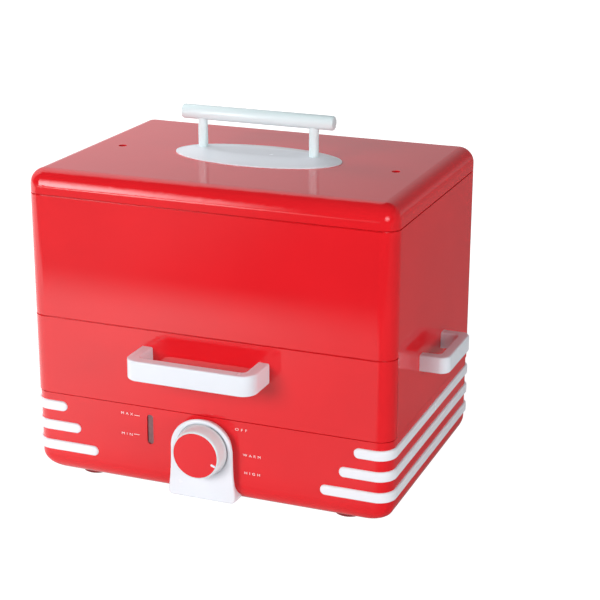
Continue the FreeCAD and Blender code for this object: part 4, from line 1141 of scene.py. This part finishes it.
@dataclass
class Studio:
    """Floor, white surroundings, soft boxes and the camera at the photograph's angle.

    A fade holds start, end, low and high: it changes softly from low at start to high at end.
    """

    aim: Triple = (0.0, 0.0, 0.13)
    camera_place: Triple = (0.49753, -1.16558, 0.56042)
    yaw: float = 0.371902
    pitch: float = 0.320018
    roll: float = 0.004097
    lens: float = 97.991
    lamps: tuple[Lamp, ...] = (
        Lamp("key_box", (-0.9, -2.5, 1.05), (1.5, 1.1), 0.7),
        Lamp("right_box", (1.65, -0.5, 0.45), (0.9, 0.7), 0.41),
        Lamp("back_box", (-0.6, 1.7, 0.5), (1.0, 0.7), 0.2),
        Lamp("top_left_box", (-0.56, 0.12, 0.55), (0.4, 0.4), 0.48),
    )
    glows: tuple[Glow, ...] = (
        Glow((-0.49, -0.87, 0.06), (0.15, 0.6, 0.6), 11.5),
        Glow((0.58, -0.77, 0.25), (0.38, 0.38, 0.38), 7.5),
        Glow((0.5, 0.86, 0.0), (0.35, 0.5, 0.25), 0.3),
    )
    ambient_by_height: Fade = (0.2, 0.9, 0.25, 0.125)
    wall_edge: Fade = (-0.05, 0.25, 0.0, 1.0)
    wall_edge_x: float = -0.48
    wall_edge_slope: float = 2.5
    wall_edge_by_height: Fade = (0.45, 0.62, 1.0, 0.0)
    wall_fades: tuple[tuple[str, Fade], ...] = (
        ("X", (-0.5, -0.2, 0.72, 0.42)),
        ("Z", (0.25, 0.8, 1.0, 2.2)),
        ("Y", (-0.25, 0.0, 0.0, 1.0)),
        ("X", (-0.3, 0.3, 1.0, 0.3)),
    )
    mirrored_least: float = 0.07
    far_pool: Glow = Glow((-1.15, -2.2, 0.0), (0.5, 1.2, 1.0), 8.5)
    far_floor: Fade = (-0.42, -0.15, 0.5, 0.08)
    near_floor: Fade = (-0.27, 0.02, 1.95, 0.83)
    near_floor_right: Fade = (0.09, 0.17, 0.0, 0.61)
    near_floor_edge: Pair = (-0.62, -0.48)
    footprint_centre: Triple = (0.0, 0.01585, 0.0)
    footprint: Triple = (0.1525, 0.108, 1.0)
    pool_by_gap: Fade = (0.0, 0.08, 0.55, 1.0)
    underside_glow_by_gap: Fade = (0.0, 0.08, 0.22, 0.0)
    white_by_distance: Fade = (0.25, 0.7, 0.75, 1.0)
    floor_white: float = 1.24
    floor_reach: float = 6.0

    def build(self) -> None:
        """Set up the studio."""
        self.world()
        self.floor()
        for lamp in self.lamps:
            self.light(lamp)
        self.camera()
        bpy.context.scene.view_settings.view_transform = "Standard"

    def light(self, lamp: Lamp) -> None:
        """Hang one soft box, turned to the object."""
        data = bpy.data.lights.new(lamp.name, "AREA")
        data.shape = "RECTANGLE"
        data.size, data.size_y = lamp.size
        towards = Vector(self.aim) - Vector(lamp.place)
        data.energy = lamp.level * (math.pi * towards.length) ** 2
        holder = object_of(lamp.name, data)
        holder.location = lamp.place
        holder.rotation_euler = towards.to_track_quat("-Z", "Y").to_euler()
        holder.visible_camera = False
        holder.visible_glossy = False
        LOG.info("studio: %s, %.1f W", lamp.name, data.energy)

    def glow(self, graph: Graph, where: NodeSocket, patch: Glow) -> NodeSocket:
        """Brightness of one glow in a direction or at a place."""
        off = graph.vector("SUBTRACT", where, patch.centre)
        away = graph.vector("LENGTH", graph.vector("DIVIDE", off, patch.spread))
        return graph.ramp(away, 0.0, 1.0, patch.strength, 0.0)

    def end(self, graph: Graph, output: str, shaders: Iterable[NodeSocket], share: Any = 1.0) -> None:
        """Close a tree.

        Args:
            graph: Tree of the world or the floor.
            output: Type of its output node.
            shaders: What diffuse rays meet, what glossy and transmission rays meet, what the camera sees.
            share: Share of that last one, over what diffuse rays meet.
        """
        surface, mirrored, seen = shaders
        rays = add(graph.tree, "ShaderNodeLightPath").outputs
        by_mirror = graph.sum("MAXIMUM", rays["Is Glossy Ray"], rays["Is Transmission Ray"])
        by_camera = graph.sum("MULTIPLY", rays["Is Camera Ray"], share)
        for part, shader in ((by_mirror, mirrored), (by_camera, seen)):
            values = {"Fac": part, "Shader": surface, "Shader_001": shader}
            surface = graph.put("ShaderNodeMixShader", 0, values)
        add(graph.tree, output, {"Surface": surface})

    def world(self) -> None:
        """Soft grey surroundings, white to the camera; gloss mirrors pale walls and the soft boxes."""
        world = bpy.data.worlds.new("studio")
        world.use_nodes = True
        graph = Graph(world.node_tree)
        direction = graph.put("ShaderNodeTexCoord", "Generated")
        parts = graph.parts(direction)
        edge = graph.sum("MULTIPLY", graph.sum("SUBTRACT", parts["X"], self.wall_edge_x), self.wall_edge_slope)
        wall = graph.ramp(graph.sum("SUBTRACT", parts["Y"], edge), *self.wall_edge)
        wall = graph.sum("MAXIMUM", wall, graph.ramp(parts["Z"], *self.wall_edge_by_height))
        for axis, fade in self.wall_fades:
            wall = graph.sum("MULTIPLY", wall, graph.ramp(parts[axis], *fade))
        mirrored = graph.sum("ADD", wall, self.mirrored_least)
        for patch in self.glows:
            mirrored = graph.sum("ADD", mirrored, self.glow(graph, direction, patch))
        ambient = graph.ramp(parts["Z"], *self.ambient_by_height)
        shaders = [
            graph.put("ShaderNodeBackground", 0, {"Color": linear(colour), "Strength": strength})
            for colour, strength in (("#f6f8ff", ambient), ("#fbfbff", mirrored), ("#ffffff", 1.0))
        ]
        self.end(graph, "ShaderNodeOutputWorld", shaders)
        bpy.context.scene.world = world

    def floor(self) -> None:
        """Pale floor: white to the camera but for a soft shadow near the object, with pools of light
        on its left that gloss mirrors, and dimmer close to the object. Close to the object it also
        glows faintly to diffuse rays, a painted light on the base's underside."""
        material = bpy.data.materials.new("floor_painted_white")
        material.use_nodes = True
        graph = Graph(material.node_tree)
        where = graph.put("ShaderNodeTexCoord", "Object")
        parts = graph.parts(where)
        right = graph.ramp(parts["X"], *self.near_floor_right)
        near = graph.sum("SUBTRACT", graph.ramp(parts["X"], *self.near_floor), right)
        far = graph.ramp(parts["X"], *self.far_floor)
        pool = graph.ramp(parts["Y"], *self.near_floor_edge, far, near)
        pool = graph.sum("ADD", pool, self.glow(graph, where, self.far_pool))
        centred = graph.vector("ABSOLUTE", graph.vector("SUBTRACT", where, self.footprint_centre))
        outside = graph.vector("MAXIMUM", graph.vector("SUBTRACT", centred, self.footprint))
        gap = graph.vector("LENGTH", outside)
        pool = graph.sum("MULTIPLY", pool, graph.ramp(gap, *self.pool_by_gap))
        # Painted light: near the object the floor glows faintly to diffuse rays, to brighten the base's underside.
        underside_glow = graph.ramp(gap, *self.underside_glow_by_gap)
        underside_glow_shader, mirrored, seen = (
            graph.put("ShaderNodeEmission", 0, {"Color": linear("#ffffff"), "Strength": strength})
            for strength in (underside_glow, pool, self.floor_white)
        )
        paint = graph.put("ShaderNodeBsdfDiffuse", 0, {"Color": linear("#e8e8ea")})
        lit = graph.put("ShaderNodeAddShader", 0, {"Shader": paint, "Shader_001": underside_glow_shader})
        share = graph.ramp(graph.vector("LENGTH", where), *self.white_by_distance)
        self.end(graph, "ShaderNodeOutputMaterial", (lit, mirrored, seen), share)
        reach = self.floor_reach
        corners = [(-reach, -reach, 0), (reach, -reach, 0), (reach, reach, 0), (-reach, reach, 0)]
        mesh = mesh_of("floor", corners, [(0, 1, 2, 3)])
        mesh.materials.append(material)
        object_of("floor", mesh)

    def camera(self) -> None:
        """Camera at the photograph's place and angle."""
        data = bpy.data.cameras.new("camera")
        data.lens = self.lens
        holder = object_of("camera", data)
        turn = Euler((math.pi / 2 - self.pitch, 0.0, self.yaw)).to_matrix().to_4x4()
        roll = Matrix.Rotation(self.roll, 4, "Z")
        holder.matrix_world = Matrix.Translation(self.camera_place) @ turn @ roll
        bpy.context.scene.camera = holder


def main() -> None:
    """Build the studio and every sub-assembly."""
    logging.basicConfig(level=logging.INFO, format="%(name)s %(message)s")
    Studio().build()
    palette = Palette()
    assemblies: list[Assembly] = [
        Base("base", palette),
        Knob("knob", palette),
        Housing("housing", palette),
        Drawer("drawer", palette),
        Lid("lid", palette),
        Tray("drip_tray", palette, ("drip_tray",)),
        Tray("upper_tray", palette, ("upper_tray", "upper_tray_divider")),
    ]
    for assembly in assemblies:
        assembly.build()


if __name__ == "__main__":
    main()
